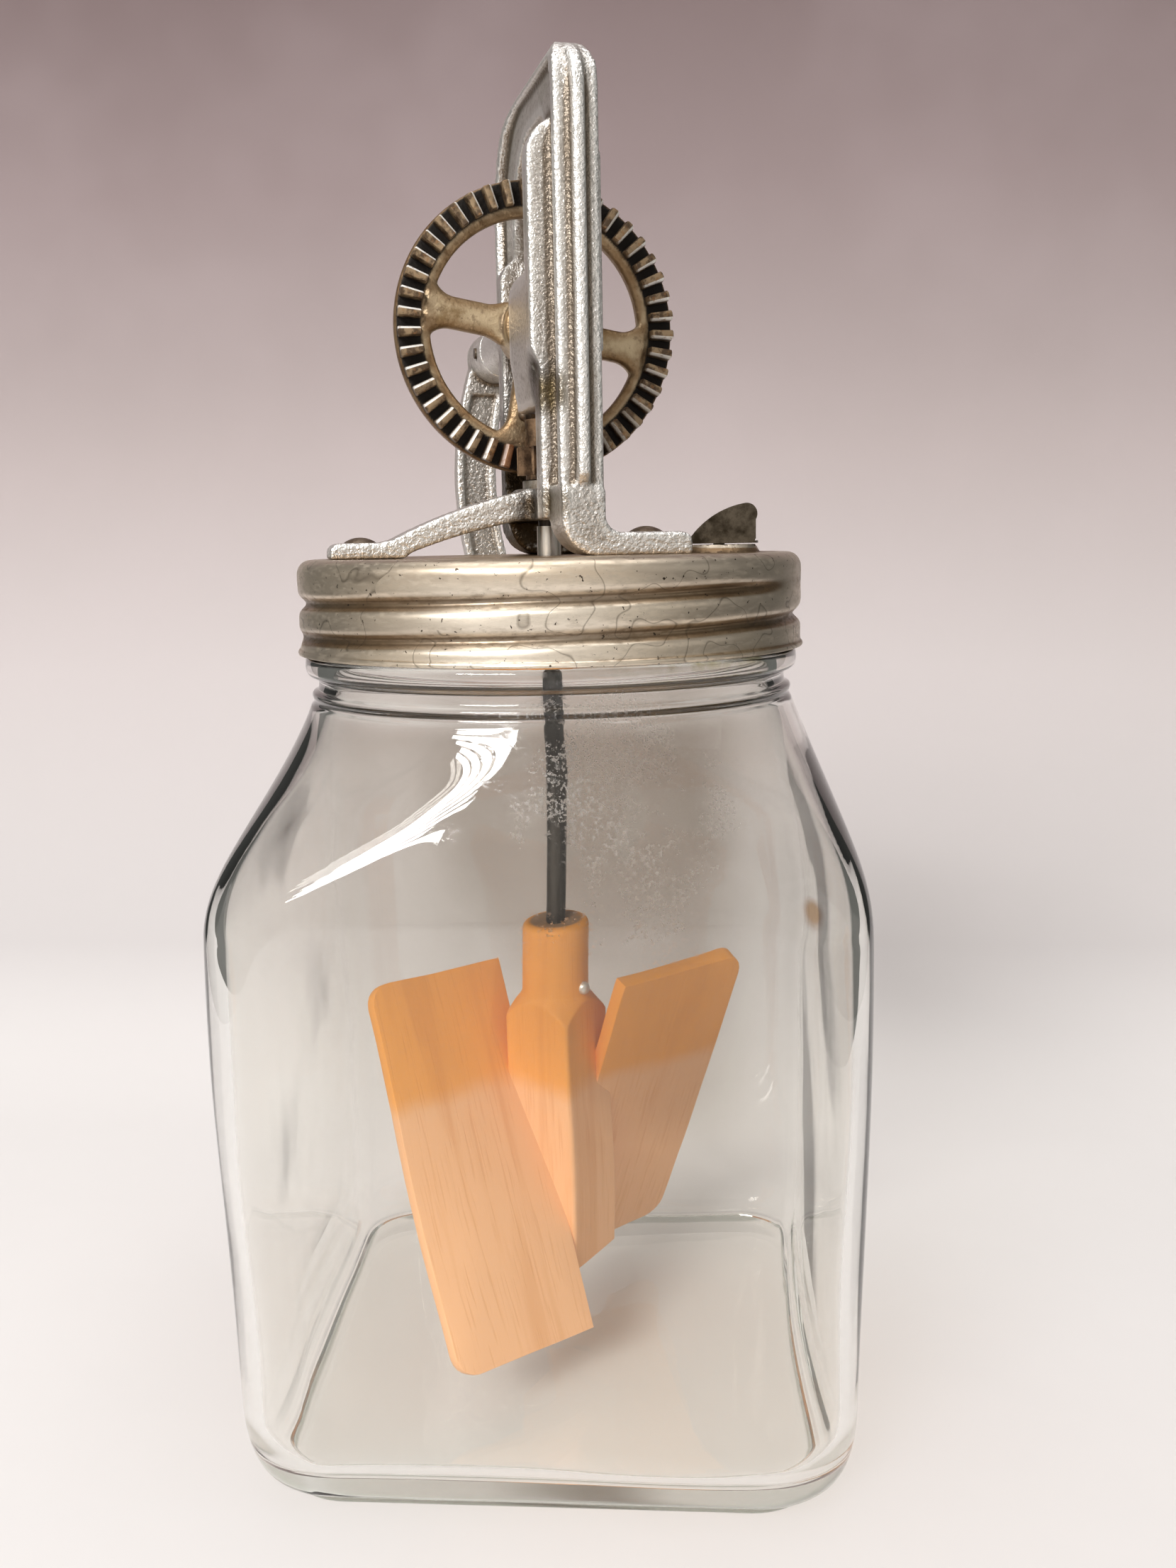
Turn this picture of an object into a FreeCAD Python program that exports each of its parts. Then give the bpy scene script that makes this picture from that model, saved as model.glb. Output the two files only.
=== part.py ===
# A hand-cranked butter churn: a square glass jar with a screw lid, a cast gear frame riveted to the lid,
# a crank-driven face gear that turns a small pinion, and a wooden dasher on the pinion's shaft.
# Millimetres, Z up. The origin is the centre of the jar's resting face and the front is -Y.
# The gear frame is turned a little about Z on the lid. Its pieces are drawn in a frame of their own,
# where x runs to the right, -y towards the front and z up, and are then turned by mechanism_yaw.
import FreeCAD, Part
import Sketcher
import math
import os
from types import SimpleNamespace
from FreeCAD import Placement, Rotation, Vector

doc = FreeCAD.newDocument("butter_churn")

SIZES = {
    # how pieces meet
    "pin_clear": 0.03,
    "running_clear": 0.06,
    "face_gap": 0.3,
    # jar outside
    "base_half": 69.0,
    "base_corner": 19.6,
    "base_edge": 3.0,
    "foot_height": 4.5,
    "side_half": 77.9,
    "side_taper": 1.8,
    "heel_inset": 5.2,
    "heel_height": 20.0,
    "taper_start": 25.0,
    "taper_end": 115.0,
    "corner_radius": 20.8,
    "shoulder_top": 193.0,
    "shoulder_height": 51.0,
    "shoulder_out": 0.9,
    "shoulder_slope": 0.40,
    "shoulder_round": 1.5,
    # jar inside
    "wall": 4.7,
    "shoulder_wall": 4.2,
    "floor_height": 9.0,
    "floor_inset": 6.5,
    "floor_round": 14.0,
    # jar neck
    "neck_radius": 60.9,
    "neck_wall": 3.9,
    "ridge_out": 1.7,
    "bead_out": 3.1,
    "bead_above": 5.0,
    "bead_thick": 5.0,
    "lip_above": 20.9,
    "lip_round": 1.5,
    "jar_thread_lift": 1.0,
    "jar_thread_wire": 2.0,
    "thread_pitch": 8.4,
    "thread_turns": 1.45,
    "thread_above": 4.6,
    # lid
    "lid_room": 4.1,
    "lid_above": 3.1,
    "lid_edge": 3.5,
    "lid_sheet": 0.8,
    "lid_bead": 0.6,
    "groove_depth": 2.0,
    "groove_wire": 2.6,
    "groove_drop": 0.2,
    "groove_azimuth": 180.0,
    "gasket_thick": 2.0,
    "gasket_in": 0.5,
    "gasket_out": 0.4,
    # gear frame
    "mechanism_yaw": 18.5,
    "frame_front": 36.0,
    "frame_rear": 35.0,
    "frame_head": 12.0,
    "front_corner": 12.0,
    "rear_corner": 28.0,
    "flange_thick": 3.5,
    "flange_width": 10.6,
    "web_width": 6.0,
    "bar_above": 9.0,
    "bar_thick": 8.0,
    "wheel_clear": 4.0,
    "window_clear": 9.0,
    "window_corner": 8.0,
    "rib_inner": 18.0,
    "rib_outer": 24.0,
    "rib_half": 9.0,
    "rib_low_half": 7.0,
    "rib_step_below": 13.0,
    "rib_head": 3.0,
    "filed_rib_width": 3.0,
    "filed_rib_rise": 3.0,
    "block_rear": 4.0,
    "block_below": 22.0,
    "block_above": 14.0,
    "block_half": 8.5,
    "block_low_half": 6.5,
    "rear_pad_front": 20.0,
    "rear_pad_rear": 26.0,
    "rear_pad_half": 7.0,
    "rear_pad_above": 20.0,
    "strip_width": 4.0,
    "strip_rise": 0.4,
    "rear_boss_radius": 7.5,
    "rear_boss_end": 50.0,
    "shaft_boss_radius": 8.5,
    # feet and left arm of the frame
    "foot_rise": 5.5,
    "foot_end": 27.0,
    "foot_inner": 24.0,
    "foot_width": 13.0,
    "foot_bend": 9.0,
    "foot_rivet": 17.0,
    "arm_in": 8.0,
    "arm_rivet_in": 8.0,
    "arm_pad_rise": 4.0,
    "arm_pad_length": 15.5,
    "arm_width": 11.0,
    "arm_foot_length": 20.5,
    "arm_top_radius": 136.0,
    "arm_under_radius": 160.0,
    "rivet_radius": 2.0,
    "rivet_head_radius": 4.2,
    "rivet_head_rise": 1.4,
    # shaft and its tube
    "shaft_radius": 2.65,
    "shaft_low": 58.0,
    "shaft_below": 7.5,
    "tube_radius": 3.1,
    "tube_below": 11.0,
    "tube_clear": 1.5,
    "tube_collar_radius": 6.5,
    "tube_collar": 1.2,
    # drive wheel
    "wheel_teeth": 45,
    "tooth_inner": 30.6,
    "tooth_outer": 36.35,
    "rim_beyond": 0.65,
    "tooth_mean": 33.8,
    "tooth_tip_plane": 5.3,
    "tooth_root_plane": 8.7,
    "tooth_tip_half": 0.6,
    "tooth_root_half": 0.9,
    "rim_inner": 27.8,
    "rim_back": 13.0,
    "spoke_count": 4,
    "spoke_width": 8.5,
    "spoke_front": 8.2,
    "spoke_flare": 6.0,
    "spoke_azimuth": -10.0,
    "hub_radius": 9.0,
    "hub_front": 5.0,
    "hub_back": 17.5,
    "axle_radius": 4.0,
    "axle_front": 14.0,
    "axle_end": 70.4,
    "wheel_pin_radius": 1.5,
    "wheel_pin_place": 15.4,
    "axle_washer_radius": 7.0,
    "axle_washer_thick": 1.5,
    "screw_place": 22.0,
    "screw_radius": 0.9,
    "screw_head_radius": 1.8,
    "screw_head_rise": 1.2,
    # crank
    "crank_reach": 72.0,
    "crank_bow": 6.5,
    "crank_front": 66.3,
    "crank_thick": 5.7,
    "crank_width": 12.0,
    "crank_rim": 2.2,
    "crank_recess": 1.1,
    "crank_hub_radius": 7.5,
    "crank_hub_front": 50.6,
    "crank_eye_radius": 7.5,
    "crank_pin_radius": 1.5,
    "crank_pin_place": 57.0,
    "spindle_radius": 3.0,
    "spindle_head_radius": 5.0,
    "spindle_head_rise": 1.6,
    "knob_length": 32.0,
    "knob_end_radius": 8.0,
    "knob_radius": 13.0,
    "knob_swell_radius": 21.0,
    "knob_washer_radius": 6.5,
    "knob_washer_thick": 1.0,
    # pinion
    "pinion_teeth": 9,
    "pinion_core": 4.6,
    "pinion_pitch_radius": 6.7,
    "pinion_outer": 8.1,
    "pinion_root_half": 1.1,
    "pinion_pitch_half": 0.7,
    "pinion_tip_half": 0.35,
    "thrust_washer_thick": 2.0,
    "pinion_under": 1.15,
    "pinion_over": 0.1,
    "pinion_clear": 1.6,
    "pinion_hub_radius": 5.6,
    "pinion_pin_radius": 1.2,
    "pinion_pin_below": 3.4,
    "thrust_washer_radius": 6.5,
    # dasher
    "dasher_low": 34.0,
    "dasher_side": 20.5,
    "dasher_corner_radius": 14.1,
    "dasher_neck": 25.0,
    "dasher_cone": 6.0,
    "dasher_neck_radius": 9.15,
    "dasher_top": 128.0,
    "dasher_top_edge": 1.5,
    "dasher_yaw": -29.3,
    "blade_yaw": 40.8,
    "blade_pitch": 23.7,
    "blade_inner": 6.6,
    "blade_outer": 48.7,
    "blade_length": 102.4,
    "blade_thick": 4.0,
    "blade_corner": 6.0,
    "blade_place": 68.0,
    "dasher_pin_radius": 1.6,
    "dasher_pin_below": 17.0,
    "dasher_pin_rise": 0.8,
    # vent in the lid
    "vent_yaw": 5.73,
    "vent_place": 44.5,
    "vent_boss_radius": 10.7,
    "vent_boss_rise": 2.0,
    "vent_cover_radius": 10.2,
    "vent_cover_sheet": 0.6,
    "vent_chord": 4.8,
    "vent_fin_half": 9.0,
    "vent_fin_peak": 6.2,
    "vent_fin_rise": 9.6,
    "vent_fin_round": 2.2,
    "vent_hole_radius": 2.8,
    "vent_hole_place": 6.2,
    "vent_rivet_radius": 1.5,
    "vent_rivet_head": 2.8,
    "vent_rivet_rise": 1.1,
}

sheet = doc.addObject("Spreadsheet::Sheet", "sizes")
for row, (alias, number) in enumerate(SIZES.items(), start=1):
    sheet.set("A%d" % row, alias)
    sheet.set("B%d" % row, str(number))
    sheet.setAlias("B%d" % row, alias)
doc.recompute()


class Size:
    """A number with the formula that gives it, so that features can be bound to the sheet."""

    def __init__(self, value, formula):
        self.value = value
        self.formula = formula

    def __add__(self, other):
        other = as_size(other)
        return Size(self.value + other.value, "(%s + %s)" % (self.formula, other.formula))

    def __radd__(self, other):
        return as_size(other) + self

    def __sub__(self, other):
        other = as_size(other)
        return Size(self.value - other.value, "(%s - %s)" % (self.formula, other.formula))

    def __rsub__(self, other):
        return as_size(other) - self

    def __mul__(self, other):
        other = as_size(other)
        return Size(self.value * other.value, "(%s * %s)" % (self.formula, other.formula))

    def __rmul__(self, other):
        return as_size(other) * self

    def __truediv__(self, other):
        other = as_size(other)
        return Size(self.value / other.value, "(%s / %s)" % (self.formula, other.formula))

    def __rtruediv__(self, other):
        return as_size(other) / self

    def __neg__(self):
        return Size(-self.value, "(0 - %s)" % self.formula)


def as_size(number):
    """The number itself if it is a Size already, or a Size that holds it."""
    if isinstance(number, Size):
        return number
    return Size(float(number), "%.9g" % number if number >= 0 else "(0 - %.9g)" % -number)


def root(size):
    """Square root of a size."""
    return Size(math.sqrt(size.value), "sqrt(%s)" % size.formula)


def cosine(angle):
    """Cosine of an angle in degrees."""
    return Size(math.cos(math.radians(angle.value)), "cos(%s)" % angle.formula)


def sine(angle):
    """Sine of an angle in degrees."""
    return Size(math.sin(math.radians(angle.value)), "sin(%s)" % angle.formula)


d = SimpleNamespace(**{name: Size(float(value), "sizes." + name) for name, value in SIZES.items()})

# the neck, the lid and its gasket go out from the neck's radius
d.mouth_radius = d.neck_radius - d.neck_wall
d.shoulder_half = d.neck_radius + d.shoulder_out
d.ridge_radius = d.neck_radius + d.ridge_out
d.bead_radius = d.neck_radius + d.bead_out
d.lid_radius = d.neck_radius + d.lid_room
d.gasket_inner = d.mouth_radius + d.gasket_in
d.gasket_outer = d.neck_radius + d.gasket_out
d.arm_end = d.lid_radius - d.arm_in
d.arm_rivet = d.arm_end - d.arm_rivet_in
d.arm_pad_inner = d.arm_end - d.arm_pad_length
d.arm_arch_start = d.arm_end - d.arm_foot_length
# heights above the shoulder, one piece standing on another
d.corner_end = d.shoulder_top - d.shoulder_height
d.bead_low = d.shoulder_top + d.bead_above
d.bead_high = d.bead_low + d.bead_thick
d.lip_height = d.bead_high + d.lip_above
d.jar_thread_start = d.bead_high + d.thread_above
d.groove_start = d.jar_thread_start - d.groove_drop
d.lid_top = d.lip_height + d.lid_above
d.bar_low = d.lid_top + d.bar_above
d.bar_high = d.bar_low + d.bar_thick
d.tube_low = d.lid_top - d.tube_below
d.tube_high = d.bar_low - d.tube_clear
# the axle clears the bar by the wheel's radius, and the loop goes round the wheel
d.rim_outer = d.tooth_outer + d.rim_beyond
d.axle_height = d.bar_high + d.wheel_clear + d.rim_outer
d.window_top = d.axle_height + d.rim_outer + d.window_clear
d.frame_top = d.window_top + d.frame_head
d.rib_top = d.window_top - d.rib_head
d.rib_step_height = d.axle_height - d.rib_step_below
d.block_low = d.axle_height - d.block_below
d.block_top = d.axle_height + d.block_above
d.rear_pad_top = d.axle_height + d.rear_pad_above
d.shaft_top = d.axle_height - d.shaft_below
# the pinion reaches over the wheel's lowest tooth
d.pinion_low = d.bar_high + d.thrust_washer_thick + d.face_gap
d.pinion_teeth_low = d.axle_height - d.tooth_outer - d.pinion_under
d.pinion_teeth_high = d.axle_height - d.tooth_inner + d.pinion_over
d.pinion_high = d.block_low - d.pinion_clear
d.pinion_pin_place = d.pinion_high - d.pinion_pin_below
# the dasher's neck comes down from its top
d.neck_low = d.dasher_top - d.dasher_neck + d.dasher_cone
d.dasher_shoulder = d.dasher_top - d.dasher_neck
d.dasher_pin_place = d.dasher_top - d.dasher_pin_below

# heights of the jar's sections, as shares of the way up to the top of the shoulder
OUTSIDE_LEVELS = (0.0, 0.024, 0.056, 0.109, 0.241, 0.411, 0.581, 0.692, 0.745, 0.788, 0.83, 0.878, 0.936, 1.0)
INSIDE_LEVELS = (0.0, 0.022, 0.049, 0.114, 0.276, 0.439, 0.59, 0.688, 0.742, 0.785, 0.829, 0.878, 0.937, 1.0)


def new_body(name):
    """An empty body."""
    body = doc.addObject("PartDesign::Body", name)
    body.Label = name
    return body


def new_sketch(body, plane, offset=0, turn=0):
    """A sketch on one of the body's own origin planes, moved along its normal and turned in it."""
    sketch = body.newObject("Sketcher::SketchObject", body.Name + "_sketch")
    support = [f for f in body.Origin.OriginFeatures if f.Role == plane][0]
    sketch.AttachmentSupport = [(support, "")]
    sketch.MapMode = "FlatFace"
    offset = as_size(offset)
    turn = as_size(turn)
    sketch.AttachmentOffset = Placement(Vector(0, 0, offset.value), Rotation(Vector(0, 0, 1), turn.value))
    sketch.setExpression("AttachmentOffset.Base.z", offset.formula)
    if turn.value:
        sketch.setExpression("AttachmentOffset.Rotation.Angle", turn.formula)
    return sketch


def hold(sketch, kind, places, size):
    """Add one driving constraint and bind it to its formula."""
    size = as_size(size)
    index = sketch.addConstraint(Sketcher.Constraint(kind, *places, size.value))
    sketch.setExpression("Constraints[%d]" % index, size.formula)


def arc_centre(start, end, radius):
    """Centre of the arc from start to end: it turns anticlockwise for a positive radius."""
    middle = (start + end) * 0.5
    half = (end - start) * 0.5
    rise = math.sqrt(max(radius * radius - half.Length ** 2, 0.0))
    side = Vector(-half.y, half.x, 0).normalize()
    return middle + side * (rise if radius > 0 else -rise)


def draw(sketch, corners):
    """A closed outline. A corner is (x, y), or (x, y, radius) where an arc runs on to the next corner."""
    spots = [Vector(as_size(c[0]).value, as_size(c[1]).value, 0) for c in corners]
    first = len(sketch.Geometry)
    for i, corner in enumerate(corners):
        start, end = spots[i], spots[(i + 1) % len(spots)]
        if len(corner) == 2:
            sketch.addGeometry(Part.LineSegment(start, end), False)
            continue
        radius = as_size(corner[2]).value
        centre = arc_centre(start, end, radius)
        begin = math.atan2(start.y - centre.y, start.x - centre.x)
        finish = math.atan2(end.y - centre.y, end.x - centre.x)
        if radius < 0:
            begin, finish = finish, begin
        circle = Part.Circle(centre, Vector(0, 0, 1), abs(radius))
        sketch.addGeometry(Part.ArcOfCircle(circle, begin, finish), False)
    for i, corner in enumerate(corners):
        this, after = first + i, first + (i + 1) % len(corners)
        backwards = len(corner) == 3 and as_size(corner[2]).value < 0
        next_backwards = len(corners[(i + 1) % len(corners)]) == 3 and \
            as_size(corners[(i + 1) % len(corners)][2]).value < 0
        tail = 1 if backwards else 2
        head = 2 if next_backwards else 1
        sketch.addConstraint(Sketcher.Constraint("Coincident", this, tail, after, head))
        start_end = 2 if backwards else 1
        hold(sketch, "DistanceX", (-1, 1, this, start_end), corner[0])
        hold(sketch, "DistanceY", (-1, 1, this, start_end), corner[1])
        if len(corner) == 3:
            size = as_size(corner[2])
            hold(sketch, "Radius", (this,), size if size.value > 0 else -size)
    return sketch


def draw_circle(sketch, x, y, radius):
    """A full circle."""
    spot = Vector(as_size(x).value, as_size(y).value, 0)
    index = sketch.addGeometry(Part.Circle(spot, Vector(0, 0, 1), as_size(radius).value), False)
    hold(sketch, "DistanceX", (-1, 1, index, 3), x)
    hold(sketch, "DistanceY", (-1, 1, index, 3), y)
    hold(sketch, "Radius", (index,), radius)
    return sketch


def extrude(body, sketch, length, kind="Pad", symmetric=False, reverse=False):
    """A pad or a pocket."""
    feature = body.newObject("PartDesign::" + kind, body.Name + "_" + kind.lower())
    feature.Profile = sketch
    length = as_size(length)
    feature.Length = length.value
    feature.setExpression("Length", length.formula)
    feature.Midplane = symmetric
    feature.Reversed = reverse
    sketch.Visibility = False
    return feature


def revolve(body, sketch, axis="V_Axis", kind="Revolution"):
    """A full turn of the sketch about one of its own axes."""
    feature = body.newObject("PartDesign::" + kind, body.Name + "_turned")
    feature.Profile = sketch
    feature.ReferenceAxis = (sketch, [axis])
    feature.Angle = 360.0
    sketch.Visibility = False
    return feature


def soften(body, feature, radius, picked):
    """Round the edges whose bounding box the given test picks."""
    edges = feature.Shape.Edges
    fillet = body.newObject("PartDesign::Fillet", body.Name + "_fillet")
    fillet.Base = (feature, ["Edge%d" % i for i, edge in enumerate(edges, start=1) if picked(edge.BoundBox)])
    fillet.Radius = radius.value
    fillet.setExpression("Radius", radius.formula)
    return fillet


def repeat_round(body, features, axis_role, count):
    """Copies of features spaced evenly about one of the body's axes."""
    pattern = body.newObject("PartDesign::PolarPattern", body.Name + "_round")
    pattern.Originals = features
    axis = [f for f in body.Origin.OriginFeatures if f.Role == axis_role][0]
    pattern.Axis = (axis, [""])
    pattern.Angle = 360.0
    pattern.Occurrences = int(count.value)
    pattern.setExpression("Occurrences", count.formula)
    body.Tip = pattern
    return pattern


def turned_body(name, corners, along_y=False):
    """A turned piece: corners are (radius, height), or (depth, radius) where it lies along Y."""
    body = new_body(name)
    sketch = new_sketch(body, "YZ_Plane" if along_y else "XZ_Plane")
    draw(sketch, corners)
    revolve(body, sketch, "H_Axis" if along_y else "V_Axis")
    return body


def place(thing, x=0, y=0, z=0, yaw=None, base_yaw=None):
    """Put a piece at x, y, z of a frame turned by base_yaw, itself turned by yaw about Z."""
    x, y, z = as_size(x), as_size(y), as_size(z)
    yaw = as_size(0) if yaw is None else yaw
    if base_yaw is not None:
        x, y = x * cosine(base_yaw) - y * sine(base_yaw), x * sine(base_yaw) + y * cosine(base_yaw)
    thing.Placement = Placement(Vector(x.value, y.value, z.value), Rotation(Vector(0, 0, 1), yaw.value))
    for name, size in zip("xyz", (x, y, z)):
        thing.setExpression("Placement.Base." + name, size.formula)
    if yaw.value:
        thing.setExpression("Placement.Rotation.Angle", yaw.formula)
    return thing


def cylinder(name, radius, height, base, axis="z"):
    """A round bar of a named size, from a base point along one axis."""
    bar = doc.addObject("Part::Cylinder", name)
    bar.Radius = as_size(radius).value
    bar.Height = as_size(height).value
    bar.setExpression("Radius", as_size(radius).formula)
    bar.setExpression("Height", as_size(height).formula)
    turns = {"z": Rotation(), "x": Rotation(Vector(0, 1, 0), 90), "y": Rotation(Vector(1, 0, 0), -90)}
    spot = [as_size(c) for c in base]
    bar.Placement = Placement(Vector(*[c.value for c in spot]), turns[axis])
    for letter, size in zip("xyz", spot):
        bar.setExpression("Placement.Base." + letter, size.formula)
    return bar


def cut(name, base, tools):
    """The base piece less the tools."""
    for number, tool in enumerate(tools):
        feature = doc.addObject("Part::Cut", "%s_%d" % (name, number))
        feature.Base = base
        feature.Tool = tool
        base = feature
    base.Label = name
    return base


def fuse(name, pieces):
    """Several pieces as one solid."""
    feature = doc.addObject("Part::MultiFuse", name)
    feature.Shapes = pieces
    feature.Label = name
    return feature


def helix_sweep(name, radius, wire, start, turns, azimuth):
    """A round wire swept along a right-hand helix about Z."""
    path = doc.addObject("Part::Helix", name + "_path")
    height = d.thread_pitch * turns
    path.Pitch = d.thread_pitch.value
    path.Height = height.value
    path.Radius = radius.value
    path.setExpression("Pitch", d.thread_pitch.formula)
    path.setExpression("Height", height.formula)
    path.setExpression("Radius", radius.formula)
    ring = doc.addObject("Part::Circle", name + "_ring")
    ring.Radius = wire.value
    ring.setExpression("Radius", wire.formula)
    ring.Placement = Placement(Vector(radius.value, 0, 0), Rotation(Vector(1, 0, 0), 90))
    ring.setExpression("Placement.Base.x", radius.formula)
    sweep = doc.addObject("Part::Sweep", name)
    sweep.Sections = [ring]
    sweep.Spine = (path, ["Edge1"])
    sweep.Solid = True
    sweep.Frenet = True
    return place(sweep, z=start, yaw=azimuth)


nodes = []


def finish(thing, name):
    """Name a finished piece of the churn."""
    thing.Label = name
    nodes.append(thing)
    return thing


def side_profile(height):
    """Half width of the jar's flat side: a slight outward taper, softly cut off by the sloping shoulder."""
    share = min(max((height - d.taper_start.value) / (d.taper_end.value - d.taper_start.value), 0.0), 1.0)
    side = d.side_half - d.side_taper * (1.0 - share * share * (3.0 - 2.0 * share))
    slope = d.shoulder_half + d.shoulder_slope * (d.shoulder_top - height)
    apart = side - slope
    return (side + slope - root(apart * apart + 4.0 * d.shoulder_round * d.shoulder_round)) * 0.5


def rounded_in(height, low, rise, inset):
    """How far a quarter ellipse at the bottom edge draws the side in at this height."""
    share = min(max((height - low.value) / rise.value, 0.0), 1.0)
    return inset * (1.0 - math.sqrt(1.0 - (1.0 - share) ** 2))


def wall_at(height):
    """Thickness of the glass: the body's own, thinning up the shoulder to the neck."""
    share = (height - d.corner_end.value) / d.shoulder_height.value
    share = min(max(share, 0.0), 1.0)
    return d.wall - (d.wall - d.shoulder_wall) * share


def corner_profile(height, half):
    """Corner radius of the jar's section: constant on the body, growing to a full circle at the neck."""
    share = (height - d.corner_end.value) / (d.shoulder_top.value - 3.0 - d.corner_end.value)
    share = min(max(share, 0.0), 1.0)
    share = share * share * (3.0 - 2.0 * share)
    return d.corner_radius + (half - 1.2 - d.corner_radius) * share


def rounded_square(sketch, half, corner):
    """A square with round corners, centred on the axis."""
    flat = half - corner
    draw(sketch, [
        (half, -flat), (half, flat, corner), (flat, half), (-flat, half, corner),
        (-half, flat), (-half, -flat, corner), (-flat, -half), (flat, -half, corner),
    ])


def loft(body, name, heights, half_at, corner_less=0.0):
    """One smooth skin through level sections of the jar."""
    sections = []
    for height in heights:
        sketch = new_sketch(body, "XY_Plane", height)
        half = half_at(as_size(height).value)
        outer = side_profile(as_size(height).value)
        corner = corner_profile(as_size(height).value, outer) - corner_less
        rounded_square(sketch, half, corner)
        sketch.Visibility = False
        sections.append(sketch)
    feature = body.newObject("PartDesign::" + name, body.Name + "_" + name)
    feature.Profile = sections[0]
    feature.Sections = sections[1:]
    feature.Ruled = False
    return feature


def make_jar():
    """Square pressed-glass jar with a foot, a ridge and a bead on the neck and one screw thread."""
    body = new_body("jar_glass")

    def outside(height):
        return side_profile(height) - rounded_in(height, d.foot_height, d.heel_height, d.heel_inset)

    def inside(height):
        floor = rounded_in(height, d.floor_height, d.floor_round, d.floor_inset)
        return side_profile(height) - wall_at(height) - floor

    rise = d.shoulder_top - d.foot_height
    levels = [d.foot_height + rise * share for share in OUTSIDE_LEVELS]
    loft(body, "AdditiveLoft", levels, outside)
    foot = new_sketch(body, "XY_Plane")
    rounded_square(foot, d.base_half, d.base_corner)
    foot_pad = extrude(body, foot, d.foot_height + 1.0)
    doc.recompute()
    soften(body, foot_pad, d.base_edge, lambda box: box.ZMax < 0.01)
    neck = new_sketch(body, "XZ_Plane")
    ridge, lip = d.ridge_radius, d.lip_round
    draw(neck, [
        (d.mouth_radius + 2.0, d.shoulder_top - 8.0), (ridge - 3.0, d.shoulder_top - 5.0),
        (ridge - 1.0, d.shoulder_top - 0.8), (ridge, d.shoulder_top - 0.6), (ridge, d.shoulder_top + 0.6),
        (ridge - 1.6, d.shoulder_top + 1.2), (ridge - 1.8, d.bead_low - 1.0),
        (d.bead_radius - 1.0, d.bead_low), (d.bead_radius, d.bead_low + 1.5),
        (d.bead_radius, d.bead_high - 1.0), (d.bead_radius - 1.0, d.bead_high),
        (d.neck_radius, d.bead_high), (d.neck_radius, d.lip_height - lip, lip),
        (d.neck_radius - lip, d.lip_height), (d.mouth_radius + lip, d.lip_height, lip),
        (d.mouth_radius, d.lip_height - lip), (d.mouth_radius, d.shoulder_top - 2.0),
    ])
    revolve(body, neck)
    rise = d.shoulder_top + 0.6 - d.floor_height
    levels = [d.floor_height + rise * share for share in INSIDE_LEVELS]
    loft(body, "SubtractiveLoft", levels, inside, d.wall)
    thread = helix_sweep("jar_thread", d.neck_radius + d.jar_thread_lift - d.jar_thread_wire,
                         d.jar_thread_wire, d.jar_thread_start, d.thread_turns, d.groove_azimuth)
    return finish(fuse("jar", [body, thread]), "jar")


def frame_spots():
    """Where the three rivets go: x, depth and the height of the metal under each head."""
    middle = d.foot_inner + d.foot_width * 0.5
    rear = -(d.foot_inner - 1.0 + d.foot_width * 0.5)
    return [
        (d.foot_rivet, -middle, d.foot_rise),
        (d.foot_rivet, -rear, d.foot_rise),
        (-d.arm_rivet, as_size(0), d.arm_pad_rise),
    ]


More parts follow.
